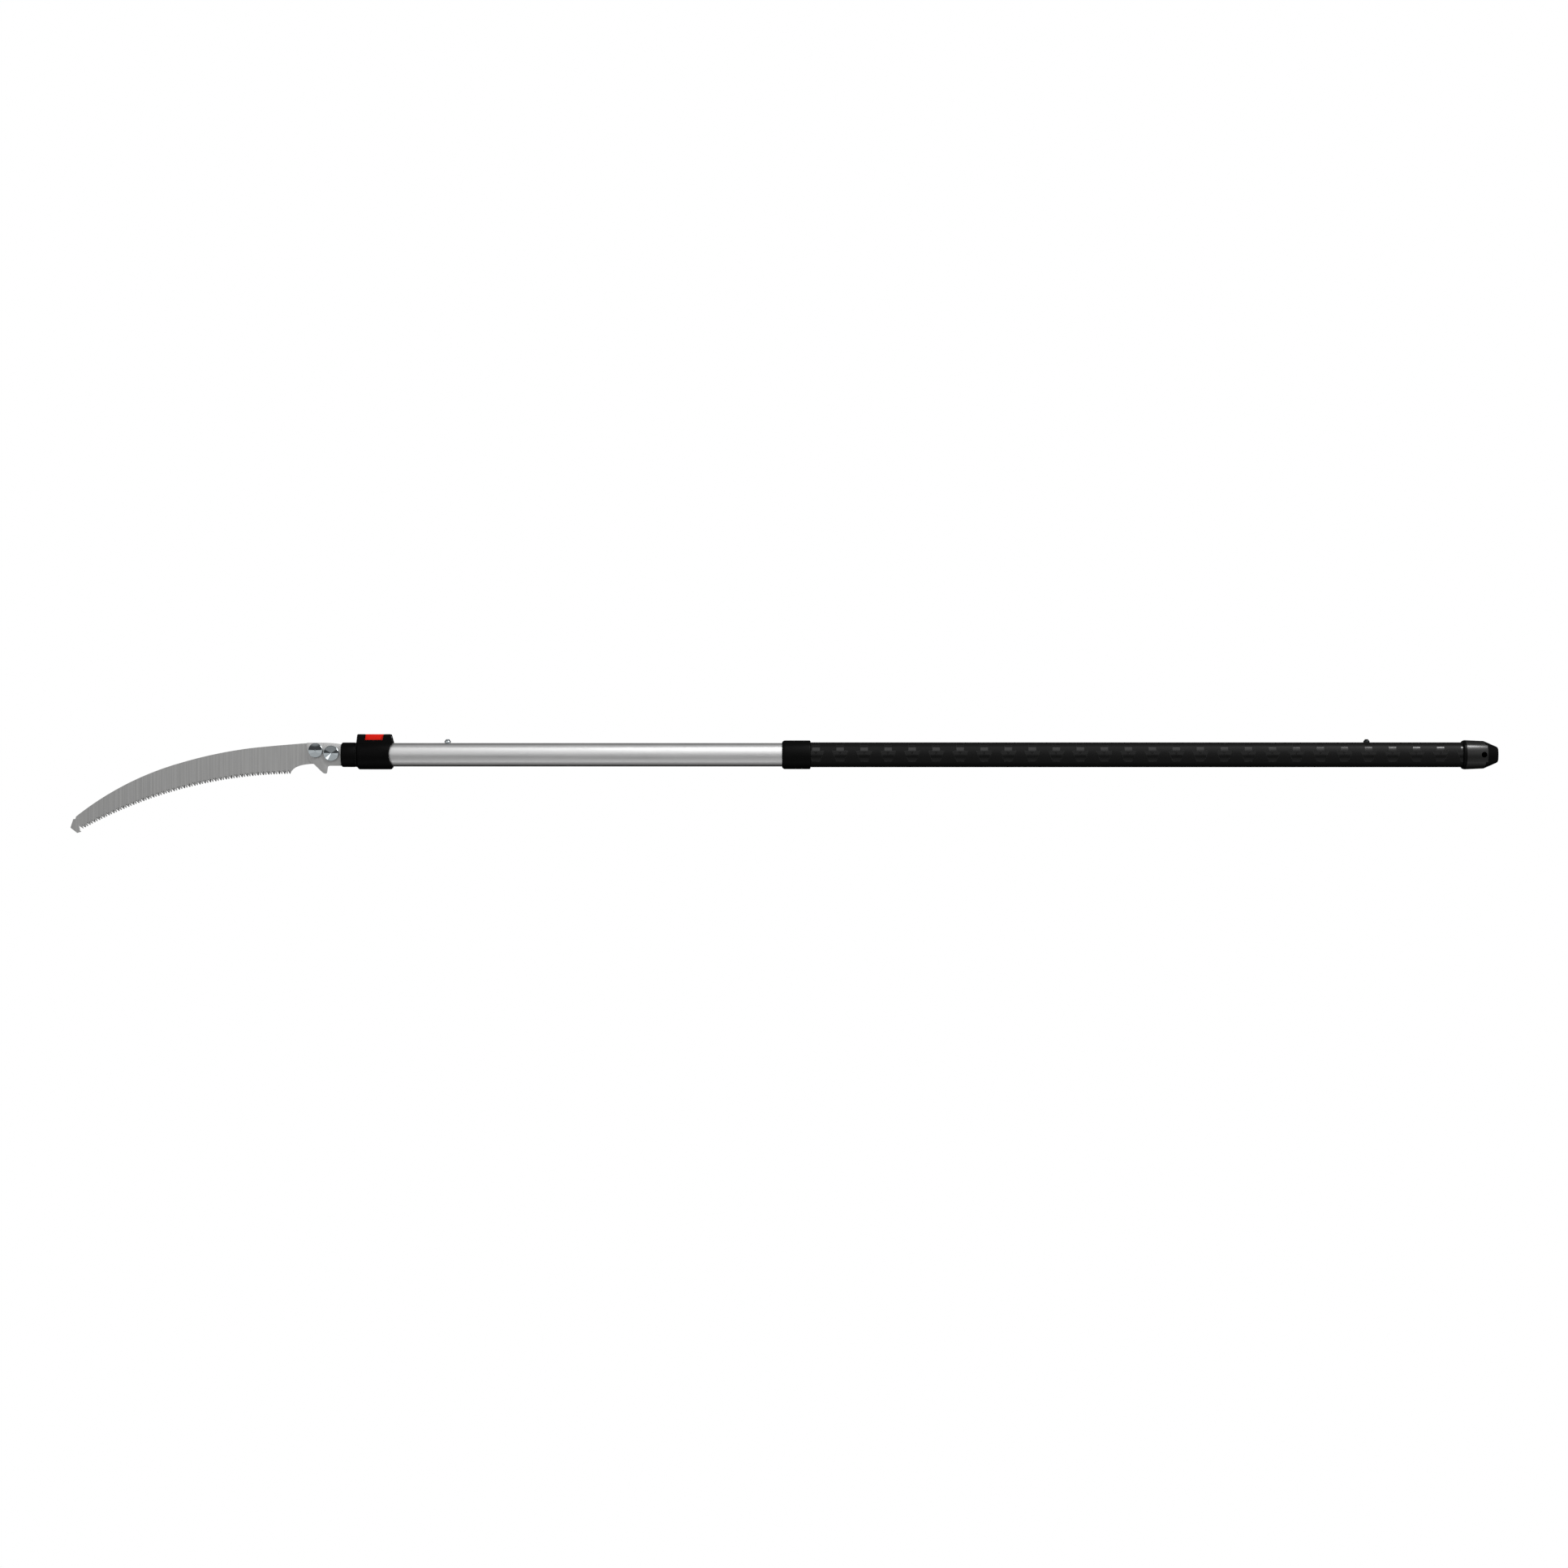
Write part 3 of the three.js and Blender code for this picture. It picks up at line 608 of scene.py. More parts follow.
def grain_group():
    """Fine pebbled grain, as on moulded plastic, rubber and blasted metal."""
    tree, given, result = new_group("mould_grain", [("Grains", 1500.0)], ["Shade", "Height"])
    size = add(tree, "CombineXYZ", {i: given.outputs["Grains"] for i in range(3)}).outputs[0]
    place = add(tree, "TexCoord").outputs["Object"]
    scaled = add(tree, "VectorMath", {0: place, 1: size}, operation="MULTIPLY").outputs[0]
    cells = add(tree, "TexVoronoi", {"Vector": scaled, "Scale": 1.0}, feature="SMOOTH_F1")
    noise = object_noise(tree, size, 2.0)
    height = calc(tree, "ADD", calc(tree, "MULTIPLY", cells.outputs["Distance"], -0.6), noise)
    tree.links.new(noise, result.inputs["Shade"])
    tree.links.new(height, result.inputs["Height"])
    return tree


def wear_and_sheen_group():
    """Lighter edges, for rubbed wear and as painted highlight: a broken mask along convex and concave edges.
    """
    tree, given, result = new_group("edge_wear", [("Reach", 0.0008), ("Amount", 0.6)], ["Mask"])
    rounded = add(tree, "Bevel", {"Radius": given.outputs["Reach"]}, samples=4).outputs[0]
    flat = add(tree, "NewGeometry").outputs["Normal"]
    likeness = add(tree, "VectorMath", {0: rounded, 1: flat}, operation="DOT_PRODUCT").outputs["Value"]
    edge = add(tree, "MapRange", {0: likeness, 1: 0.995, 2: 0.86}, clamp=True).outputs[0]
    blotches = object_noise(tree, (310.0, 310.0, 310.0), 4.0)
    broken = add(tree, "MapRange", {0: blotches, 1: 0.4, 2: 0.62}, clamp=True).outputs[0]
    mask = calc(tree, "MULTIPLY", calc(tree, "MULTIPLY", edge, broken), given.outputs["Amount"], clamp=True)
    tree.links.new(mask, result.inputs["Mask"])
    return tree


def handling_group():
    """Slow variation from handling, as large soft patches."""
    tree, given, result = new_group("handling", [("Patches", 14.0)], ["Patch"])
    size = add(tree, "CombineXYZ", {i: given.outputs["Patches"] for i in range(3)}).outputs[0]
    patch = add(tree, "MapRange", {0: object_noise(tree, size, 5.0), 1: 0.35, 2: 0.68}, clamp=True).outputs[0]
    tree.links.new(patch, result.inputs["Patch"])
    return tree


GROUP_MAKERS = {
    "line_brushing": brushing_group,
    "mould_grain": grain_group,
    "edge_wear": wear_and_sheen_group,
    "handling": handling_group,
}


def placed(tree, name, **inputs):
    """A shader group placed in a material with its own values."""
    shared = bpy.data.node_groups.get(name) or GROUP_MAKERS[name]()
    node = tree.nodes.new("ShaderNodeGroup")
    node.node_tree = shared
    for key, value in inputs.items():
        node.inputs[key].default_value = value
    return node


def mixed(tree, factor, first, second):
    """A colour between two colours or colour sockets."""
    node = tree.nodes.new("ShaderNodeMix")
    node.data_type = "RGBA"
    colours = [socket for socket in node.inputs if socket.type == "RGBA"]
    for socket, value in zip([node.inputs[0], *colours], (factor, first, second)):
        if isinstance(value, bpy.types.NodeSocket):
            tree.links.new(value, socket)
        else:
            socket.default_value = value
    return next(socket for socket in node.outputs if socket.type == "RGBA")


def shade(colour, by):
    return tuple(min(1.0, c * by) for c in colour[:3]) + (1.0,)


def finish_material(
    name, colour, roughness, metallic, lines=None, grains=None, contrast=0.12, bump=0.04, depth=0.00004,
    wear_and_sheen_colour=None, wear=0.5, reach=0.0008, rough_change=0.08, specular=0.5,
):
    """A procedural finish: lines or grain in its colour, roughness and bump, edges lightened for rubbing and
    as painted highlight, and handling.
    """
    name += "_finish"
    if name in bpy.data.materials:
        return bpy.data.materials[name]
    material = bpy.data.materials.new(name)
    material.use_nodes = True
    tree = material.node_tree
    shader = tree.nodes["Principled BSDF"]
    texture = (
        placed(tree, "line_brushing", Lines=lines) if lines else placed(tree, "mould_grain", Grains=grains)
    )
    handled = placed(tree, "handling")
    edges = placed(tree, "edge_wear", Reach=reach, Amount=wear)
    base = mixed(tree, texture.outputs["Shade"], shade(colour, 1 - contrast), shade(colour, 1 + contrast))
    dulled = calc(tree, "MULTIPLY", handled.outputs["Patch"], 0.35)
    base = mixed(tree, dulled, base, shade(colour, 1 - contrast / 2))
    # Edges lightened along the mask: rubbed wear, and painted highlight along the edges.
    base = mixed(tree, edges.outputs["Mask"], base, wear_and_sheen_colour or shade(colour, 1.5))
    tree.links.new(base, shader.inputs["Base Color"])
    ripple = calc(tree, "MULTIPLY", texture.outputs["Shade"], rough_change)
    patchy = calc(tree, "MULTIPLY", handled.outputs["Patch"], rough_change)
    rough = calc(tree, "ADD", calc(tree, "ADD", ripple, patchy), roughness - rough_change, clamp=True)
    tree.links.new(rough, shader.inputs["Roughness"])
    relief = add(tree, "Bump", {"Height": texture.outputs["Height"], "Strength": bump, "Distance": depth})
    tree.links.new(relief.outputs[0], shader.inputs["Normal"])
    shader.inputs["Metallic"].default_value = metallic
    shader.inputs["Specular IOR Level"].default_value = specular
    return material


def blade_steel():
    return finish_material(
        "blade_steel", finishes().blade_steel, 0.44, 1.0, lines=(1300.0, 40.0, 7.0), contrast=0.2, bump=0.3,
        depth=0.00002, wear=0.5, reach=0.0003,
    )


def plate_steel():
    return finish_material(
        "plate_steel", finishes().plate_steel, 0.5, 1.0, grains=2600.0, contrast=0.06, bump=0.3,
        depth=0.00003, wear=0.35, reach=0.0004,
    )


def chrome():
    return finish_material(
        "chrome", finishes().chrome, 0.07, 1.0, lines=(60.0, 60.0, 60.0), contrast=0.03, bump=0.01,
        depth=0.00001, wear=0.1, rough_change=0.03,
    )


def zinc_steel():
    return finish_material(
        "zinc_steel", finishes().zinc, 0.3, 1.0, grains=900.0, contrast=0.1, bump=0.1,
        depth=0.00003, wear=0.4,
    )


def tube_aluminium():
    return finish_material(
        "tube_aluminium", finishes().aluminium, 0.4, 1.0, lines=(5.0, 620.0, 620.0), contrast=0.06, bump=0.12,
        depth=0.00002, wear=0.3, reach=0.0004, rough_change=0.05,
    )


def machined_aluminium():
    return finish_material(
        "machined_aluminium", shade(finishes().aluminium, 0.8), 0.32, 1.0, lines=(1200.0, 40.0, 40.0),
        contrast=0.1, bump=0.15, depth=0.00002, wear=0.3,
    )


def black_plastic():
    return finish_material(
        "black_plastic", finishes().plastic, 0.42, 0.0, grains=2200.0, contrast=0.3, bump=0.25, depth=0.00005,
        wear_and_sheen_colour=(0.02, 0.02, 0.02, 1), wear=0.5, reach=0.0006, specular=0.06,
    )


# The chrome darkened to 5 per cent: painted dark reflection on a chrome screw like the front one.
def black_nickel():
    return finish_material(
        "black_nickel", shade(finishes().chrome, 0.05), 0.16, 1.0, grains=300.0, contrast=0.1, bump=0.02,
        depth=0.00001, wear=0.4, rough_change=0.04,
    )


# The blade's steel darkened to 6 per cent: painted dark reflection on the gullets' ground faces.
def tooth_bevel_steel():
    return finish_material(
        "tooth_bevel_steel", shade(finishes().blade_steel, 0.06), 0.35, 1.0, lines=(400.0, 60.0, 1500.0),
        contrast=0.2, bump=0.2, depth=0.00002, wear=0.3, reach=0.0002,
    )


def blackened_steel():
    return finish_material(
        "blackened_steel", shade(finishes().zinc, 0.03), 0.4, 1.0, grains=1200.0, contrast=0.2, bump=0.15,
        depth=0.00003, wear=0.6,
    )


def glide_nylon():
    return finish_material(
        "glide_nylon", finishes().nylon, 0.45, 0.0, grains=1300.0, contrast=0.2, bump=0.2, depth=0.00004,
        wear_and_sheen_colour=(0.08, 0.08, 0.08, 1), wear=0.6,
    )


def grip_rubber():
    # The edges lightened to 0.05 stand for scuffing, and partly for painted highlights along the figures'
    # edges.
    return finish_material(
        "grip_rubber", finishes().rubber, 0.5, 0.0, grains=1700.0, contrast=0.3, bump=0.45, depth=0.00008,
        wear_and_sheen_colour=(0.05, 0.05, 0.05, 1), wear=0.7, reach=0.0007, specular=0.1,
    )


def cap_rubber():
    return finish_material(
        "cap_rubber", finishes().cap_rubber, 0.32, 0.0, grains=1400.0, contrast=0.25, bump=0.3, depth=0.00006,
        wear_and_sheen_colour=(0.04, 0.04, 0.04, 1), wear=0.5, reach=0.0008, specular=0.36,
    )


def grip_gloss():
    # The edges lightened to 0.05 stand for scuffing, and partly for painted highlights along the figures'
    # edges.
    return finish_material(
        "grip_gloss", shade(finishes().rubber, 1.1), 0.2, 0.0, grains=900.0, contrast=0.3, bump=0.3,
        depth=0.00005, wear_and_sheen_colour=(0.05, 0.05, 0.05, 1), wear=0.7, reach=0.0007, specular=0.24,
    )


def red_plastic():
    return finish_material(
        "red_plastic", finishes().red, 0.36, 0.0, grains=1500.0, contrast=0.08, bump=0.15, depth=0.00004,
        wear_and_sheen_colour=(0.75, 0.09, 0.06, 1), wear=0.4, reach=0.0006, specular=0.1,
    )


# ---------- The blade and the head ----------

TOOTH_ARC = (-2102.6, -815.3, 782.0)
FIRST_TIP, LAST_TIP = -2478.0, -2115.7
TOOTH_LEAN = 0.8
BACK_NEAR = (-2086.5, -761.3, 779.1)
BACK_FAR = (-2165.1, -517.3, 522.9)
SICKLE_TIP = [
    (-2491.4, -110.4), (-2492.2, -112.5), (-2495.6, -112.6), (-2500.5, -127.7),
    (-2488.8, -136.9), (-2481.9, -134.7), (-2483.9, -131.5), (-2485.4, -123.3),
]
PIVOT = (-2070.0, 7.7)
CLAMP = (-2042.6, 2.6)
BOLT_HOLE = 4.2
RIVETS_X = (-2012, -1972)
RIVET_HOLE = 2.7


def on_tooth_arc(degrees, lift=0.0):
    radius = TOOTH_ARC[2] + lift
    angle = math.radians(degrees)
    return TOOTH_ARC[0] + radius * math.cos(angle), TOOTH_ARC[1] + radius * math.sin(angle)


def blade_outline(pitch, depth):
    first = degrees_at(TOOTH_ARC, FIRST_TIP)
    last = degrees_at(TOOTH_ARC, LAST_TIP)
    points = [(-2030, 17.6), (-2056, 20.5), (-2078, 21)]
    points += curve_points((-2078, 21), (-2160.7, 14.6), (-2185, 11.5))
    for arc, start, end, steps in ((BACK_NEAR, -2185, -2311.5, 24), (BACK_FAR, -2311.5, -2490.8, 36)):
        points += arc_points(arc[:2], arc[2], degrees_at(arc, start), degrees_at(arc, end), steps)
    points += SICKLE_TIP
    points.append(on_tooth_arc(first + TOOTH_LEAN * pitch, depth))
    points.append(on_tooth_arc(first))
    points += arc_points(TOOTH_ARC[:2], TOOTH_ARC[2], first, last, 60)
    tip = on_tooth_arc(last)
    points += bezier_points(tip, (-2112, -22.5), (-2101, -17), (-2075.4, -15.8))
    return points + [(-2060, -13), (-2030, -13)]


def gullet(name, pitch, depth, skew):
    """The cutter of one gullet at the first tooth, skewed through the blade."""
    first = degrees_at(TOOTH_ARC, FIRST_TIP)
    root = Vector(on_tooth_arc(first - (1 - TOOTH_LEAN) * pitch, depth))
    reach = 1.25
    left = root + (Vector(on_tooth_arc(first)) - root) * reach
    right = root + (Vector(on_tooth_arc(first - pitch)) - root) * reach
    along = Vector(on_tooth_arc(first - pitch)) - Vector(on_tooth_arc(first))
    along.normalize()
    outline = [tuple(p - along * skew) for p in (left, root, right)]
    return plate(name, outline, -1.6, 1.6, back_shift=tuple(along * skew * 2))


def make_blade():
    count = sizes().tooth_count
    depth = sizes().tooth_depth / MM
    skew = sizes().tooth_skew / MM
    pitch = (degrees_at(TOOTH_ARC, FIRST_TIP) - degrees_at(TOOTH_ARC, LAST_TIP)) / (count - 1)
    low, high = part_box("saw_blade")
    blade = plate("blade", blade_outline(pitch, depth), low.y / MM, high.y / MM)
    bevel_edges(blade, 0.25, 1, lambda e: sharp(e, 60) and abs(e.verts[0].co.y - e.verts[1].co.y) < 1e-6)
    centre = Vector((TOOTH_ARC[0], 0, TOOTH_ARC[1])) * MM
    for hand in (0, 1):
        master = gullet("gullet", pitch, depth, skew * (1 if hand else -1))
        turns = []
        for k in range(hand, count - 1, 2):
            rotation = Matrix.Rotation(math.radians(k * pitch), 4, "Y")
            turns.append(Matrix.Translation(centre) @ rotation @ Matrix.Translation(-centre))
        cut(blade, gather("gullets", repeat(master, turns)))
        bpy.data.objects.remove(master)
    cut(blade, *[rod("hole", BOLT_HOLE, (x, -9, z), (x, 9, z)) for x, z in (PIVOT, CLAMP)])
    settle(blade, "inner_pole", "blade_steel", blade_steel(), "saw_blade", smooth=20)
    # The gullets' ground faces take the darkened steel: painted dark reflection.
    return paint_faces(
        blade, tooth_bevel_steel(), lambda f: 0.05 < abs(f.normal.y) < 0.5 and f.center.x < LAST_TIP * MM
    )


def cheek_outline(with_hook):
    points = [(-2026.1, 18.4)]
    points += curve_points((-2026.1, 18.4), (-2041, 21), (-2056, 21))
    points += [(-2083.2, 21)]
    points += curve_points((-2083.2, 21), (-2087.6, 21), (-2087, 17.1), 6)
    points += [(-2083.8, -5)]
    points += curve_points((-2083.8, -5), (-2082.5, -12.5), (-2074.5, -15.6))
    if with_hook:
        points += [(-2058.4, -31)]
        points += curve_points((-2058.4, -31), (-2054.6, -34), (-2051.7, -32.6), 6)
        points += curve_points((-2051.7, -32.6), (-2050.2, -31.6), (-2049.8, -23.4), 6)
        points += curve_points((-2049.8, -23.4), (-2049.6, -19.3), (-2045, -19.3), 6)
    else:
        points += curve_points((-2074.5, -15.6), (-2068, -19.3), (-2058, -19.3), 6)
    return points + [(-2026.1, -19.3), (-2026.1, -13), (-1962, -13), (-1962, 13), (-2026.1, 13)]


def make_cheek(node, with_hook):
    low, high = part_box(node)
    body = plate("cheek", cheek_outline(with_hook), low.y / MM, high.y / MM)
    round_off(body, sizes().plate_chamfer / MM, 2, 60)
    holes = [rod("hole", BOLT_HOLE, (x, -9, z), (x, 9, z)) for x, z in (PIVOT, CLAMP)]
    holes += [rod("hole", RIVET_HOLE, (x, -9, 0), (x, 9, 0)) for x in RIVETS_X]
    cut(body, *holes)
    return settle(body, "inner_pole", "plate_steel", plate_steel(), node)


def make_bolt(node, place, head, dish, dimple):
    """A round clamping bolt with a dished face, a narrow rim and a threaded end. Its head is a radius."""
    low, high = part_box(node)
    face, end = low.y / MM, high.y / MM
    seat = face + 7
    shank = 3.9
    profile = [
        (0, face + dish + dimple), (0.7, face + dish + dimple), (1.3, face + dish),
        (head - 1.1, face + 0.06), (head - 0.9, face), (head - 0.5, face), (head - 0.15, face + 0.25),
        (head, face + 0.7), (head, seat - 0.4), (head - 0.4, seat), (shank, seat),
    ]
    thread, thread_pitch, threads = end - 12, 1.1, 10
    profile.append((shank, thread))
    for k in range(threads):
        profile.append((shank - thread_pitch / 2, thread + k * thread_pitch + thread_pitch / 2))
        profile.append((shank, thread + (k + 1) * thread_pitch))
    profile += [(shank - 1, end), (0, end)]
    bolt = turn("bolt", profile, (place[0], 0, place[1]), steps=96)
    return settle(bolt, "inner_pole", "chrome", chrome(), node, smooth=22)


def make_nut(node, place):
    """A flanged hexagon nut with turned-off corners."""
    low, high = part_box(node)
    seat, top = low.y / MM, high.y / MM
    x, z = place
    corner = 6.5 / math.cos(math.pi / 6)
    body = rod("nut", corner, (x, seat, z), (x, top, z), sides=6)
    turned = [(0, seat), (corner, seat), (corner, top - 1.1), (5.9, top), (0, top)]
    cross(body, turn("corners", turned, (x, 0, z)))
    flange = [(0, seat), (8.8, seat), (8.8, seat + 0.9), (7.2, seat + 1.8), (6, seat + 2.4), (0, seat + 2.4)]
    join(body, turn("flange", flange, (x, 0, z)))
    cut(body, rod("bore", BOLT_HOLE, (x, seat - 2, z), (x, top + 2, z)))
    return settle(body, "inner_pole", "zinc_steel", zinc_steel(), node)


def make_ferrule():
    """The black cover over the end of the inner tube."""
    front, rear = edge_of("head_ferrule", "front"), edge_of("head_ferrule", "rear")
    profile = [
        (front, DEEP), (front, -2.9), (front + 0.4, -1.6), (front + 1.3, 0.1), (front + 2.6, 0.85),
        (front + 3.5, 1), (rear - 1.5, 1), (rear - 0.6, 0.7), (rear, 0), (rear, -3.2), (front + 4, -3.2),
        (front + 4, DEEP),
    ]
    ferrule = oval_turn("ferrule", profile)
    cut(ferrule, block("slot", (front - 5, -4.6, -13.3), (front + 5, 4.6, 13.3)))
    return settle(ferrule, "inner_pole", "black_plastic", black_plastic(), "head_ferrule")


def make_wiper():
    front = edge_of("wiper_ring", "front")
    rear = edge_of("wiper_ring", "rear")
    seat = -1998.3
    profile = [
        (front + 0.5, -3.2), (front, -2.6), (front, 0.5), (front + 0.5, 1), (seat - 0.3, 1), (seat, 0.7),
        (seat, -2.3), (rear, -2.3), (rear, -3.1), (front + 0.5, -3.2),
    ]
    return settle(oval_turn("wiper", profile), "outer_pole", "grip_rubber", grip_rubber(), "wiper_ring")


# ---------- The collar ----------

LOCK_X = -1988.0
LOCK_HOLE = 2.9
LOCK_PITCH, LOCK_HOLES = 200, 7
LEVER_X, LEVER_Z = -1968.0, 23.8
LEVER_PIN_HOLE = 1.45
TRAVEL_SCREW_Z = 30.4
COLLAR_SCREW_X = -1946
COLLAR_SCREWS_Z = (9, -9)
COLLAR_SCREW_HOLE = 1.9


def collar_block():
    """The block over the tube that holds the lever, with rounded edges."""
    side = [
        (-1997.9, 8), (-1997.9, 22.5), (-1996.4, 34.6), (-1995.9, 35.6), (-1994.9, 36),
        (-1940.4, 36), (-1939.4, 35.6), (-1938.9, 34.6), (-1935.4, 21.5), (-1935.4, 8),
    ]
    half = 12.6
    section = [(half + 0.6, 8), (half + 0.1, 32.5), (half - 0.3, 34.2), (half - 1.2, 35.5), (half - 2.8, 36)]
    section += [(-y, z) for y, z in reversed(section)]
    return cross(plate("block", side, -20, 20), prism("section", section, -2010, -1920))


def panel_rim(side):
    """A plain raised octagonal rim on the collar's side."""
    def octagon(inset):
        x0, x1 = -1991.6 + inset, -1953 - inset
        z0, z1 = -12.8 + inset, 10.7 - inset
        corner = 5.5 - inset * 0.59
        return [
            (x0 + corner, z0), (x1 - corner, z0), (x1, z0 + corner), (x1, z1 - corner),
            (x1 - corner, z1), (x0 + corner, z1), (x0, z1 - corner), (x0, z0 + corner),
        ]
    near, far = (-26, -12) if side < 0 else (12, 26)
    rim = cut(plate("rim", octagon(0), near, far), plate("inside", octagon(1.3), near - 1, far + 1))
    return cross(rim, oval_turn("limit", [(-2010, DEEP), (-2010, 5.4), (-1930, 5.4), (-1930, DEEP)]))


def make_collar():
    front, rear = edge_of("collar_housing", "front"), edge_of("collar_housing", "rear")
    shell = oval_turn("collar", [
        (front, DEEP), (front, 0.9), (front + 0.9, 2.4), (front + 2, 3.6), (front + 3.2, 4.6),
        (front + 4.5, 5.1), (rear - 4.7, 5.1), (rear - 2.6, 4.3), (rear - 1.2, 2.8), (rear, 0.9),
        (rear, DEEP),
    ])
    join(shell, collar_block(), panel_rim(-1), panel_rim(1))
    cut(
        shell,
        oval_turn("bore", [(front + 1.7, DEEP), (front + 1.7, 0.3), (rear + 5, 0.3), (rear + 5, DEEP)]),
        oval_turn("mouth", [(front - 2, DEEP), (front - 2, -2), (front + 3, -2), (front + 3, DEEP)]),
        rod("scoop", 43.4, (-1897.1, -30, 0), (-1897.1, 30, 0), sides=160),
        plate("well", [
            (-1995.2, 22), (-1984, 22), (-1984, 19.8), (-1949, 19.8), (-1949, 24.8), (-1946.6, 40),
            (-1983.9, 40), (-1983.9, 33.4), (-1995.2, 33.4),
        ], -10.3, 10.3),
        plate("notch", [(-1984.4, 25.9), (-1952.2, 25.9), (-1949.1, 40), (-1981.5, 40)], -20, 20),
        rod("pin_hole", 2.8, (LOCK_X, 0, 12), (LOCK_X, 0, 26)),
        rod("pivot_hole", LEVER_PIN_HOLE, (LEVER_X, -20, LEVER_Z), (LEVER_X, 20, LEVER_Z)),
        rod("travel_hole", 1.7, (-1950, 0, TRAVEL_SCREW_Z), (-1930, 0, TRAVEL_SCREW_Z)),
        rod("travel_seat", 2.8, (-1939.5, 0, TRAVEL_SCREW_Z), (-1930, 0, TRAVEL_SCREW_Z)),
    )
    x = COLLAR_SCREW_X
    for z in COLLAR_SCREWS_Z:
        cut(shell, rod("screw_hole", COLLAR_SCREW_HOLE, (x, 8, z), (x, 24, z)))
        cut(shell, rod("screw_seat", 3.5, (x, 16.5, z), (x, 24, z)))
    return settle(shell, "outer_pole", "black_plastic", black_plastic(), "collar_housing", smooth=28)


def make_lever():
    """The red rocking lever, hollow below, with a fork for the lock pin and ribs under the thumb."""
    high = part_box("release_lever")[1]
    half, top = high.y / MM, high.z / MM
    side = [
        (-1983.3, 24.6), (-1973, 24.6), (-1971, 21.4), (-1965, 21.4), (-1963, 24.6), (-1952.8, 24.9),
        (-1950.2, top - 0.9), (-1950.5, top - 0.2), (-1951.1, top), (-1981, top), (-1981.6, top - 0.25),
        (-1981.9, top - 0.8),
    ]
    body = plate("lever", side, -half, half)
    bevel_edges(body, 0.9, 3, lambda e: sharp(e, 60) and (e.verts[0].co.z + e.verts[1].co.z) / 2 > 0.0349)
    count = sizes().lever_ribs
    if count:
        x, z = -1953.6, top + 0.35
        groove = rod("groove", 0.8, (x, -half + 2, z), (x, half - 2, z), sides=12)
        grooves = repeat(groove, [(-2.3 * k, 0, 0) for k in range(count)])
        bpy.data.objects.remove(groove)
        cut(body, *grooves)
    inner = half - 2.5
    hollow = [(-1981.2, 15), (-1954.8, 15), (-1953.6, top - 2.5), (-1980.4, top - 2.5)]
    cut(body, plate("hollow", hollow, -inner, inner))
    nose = 1.4
    nose_low, nose_high = LEVER_Z - nose, LEVER_Z + nose
    arm = [
        (-1981.6, 22.6), (-1981.6, 29), (-1982.6, 29), (-1983.8, nose_high), (LOCK_X, nose_high),
        (LOCK_X, nose_low), (-1983.8, nose_low),
    ]
    for near, far in ((-5.2, -2.9), (2.9, 5.2)):
        join(body, plate("arm", arm, near, far))
        join(body, rod("nose", nose, (LOCK_X, near, LEVER_Z), (LOCK_X, far, LEVER_Z)))
    cut(body, rod("pivot", LEVER_PIN_HOLE, (LEVER_X, -20, LEVER_Z), (LEVER_X, 20, LEVER_Z)))
    return settle(body, "lever", "red_plastic", red_plastic(), "release_lever")


def make_spring():
    """The lock pin's spring, a wire swept up a helix."""
    turns, radius, wire = 3, 2.9, 0.3
    deselect_all()
    bpy.ops.mesh.primitive_circle_add(
        vertices=10, radius=wire * MM, fill_type="NGON", location=(radius * MM, 0, 27.65 * MM),
        rotation=(math.pi / 2, 0, 0),
    )
    spring = bpy.context.object
    bpy.ops.object.transform_apply(location=True, rotation=True, scale=True)
    coil = spring.modifiers.new("coil", "SCREW")
    coil.iterations = turns
    coil.screw_offset = 5.2 / turns * MM
    coil.steps = coil.render_steps = 24
    coil.use_merge_vertices = True
    bpy.ops.object.modifier_apply(modifier=coil.name)
    spring.location.x = LOCK_X * MM
    bpy.ops.object.transform_apply(location=True, rotation=True, scale=True)
    edit(spring)
    close(spring)
    settle(spring, "outer_pole", "zinc_steel", zinc_steel(), "lock_spring", smooth=60)
    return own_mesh(spring)


# ---------- Screws ----------


def make_stop_screw(node, material):
    """A domed screw with a hexagon socket."""
    low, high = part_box(node)
    x = middle_of(node)
    tip, top = low.z / MM, high.z / MM
    seat = HALF_HEIGHT + 0.3
    profile = [
        (0, tip), (1.9, tip), (2.4, tip + 0.5), (2.4, seat), (5.2, seat), (5.4, seat + 0.3),
        (5.4, seat + 2.1), (5.25, seat + 3), (4.7, seat + 4), (3.7, seat + 4.7), (3.3, seat + 5),
        (3.3, top - 0.5), (2.8, top), (0, top),
    ]
    screw = turn("screw", profile, (x, 0, 0), axis="Z", steps=48)
    cut(screw, rod("socket", 1.6, (x, 0, top - 2), (x, 0, top + 1), sides=6))
    return settle(screw, "outer_pole", "chrome", material, node, smooth=30)


def make_collar_screw(node):
    low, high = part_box(node)
    x, z = middle_of(node), (low.z + high.z) / 2 / MM
    tip, face = low.y / MM, high.y / MM
    profile = [
        (0, tip), (1.2, tip), (1.6, tip + 0.5), (1.6, face - 2), (3.2, face - 2),
        (3.2, face - 0.6), (2.9, face - 0.15), (2.4, face), (0, face),
    ]
    screw = turn("screw", profile, (x, 0, z), steps=32)
    cut(screw, rod("socket", 1.2, (x, face - 1.2, z), (x, face + 1, z), sides=6))
    return settle(screw, "outer_pole", "zinc_steel", zinc_steel(), node)


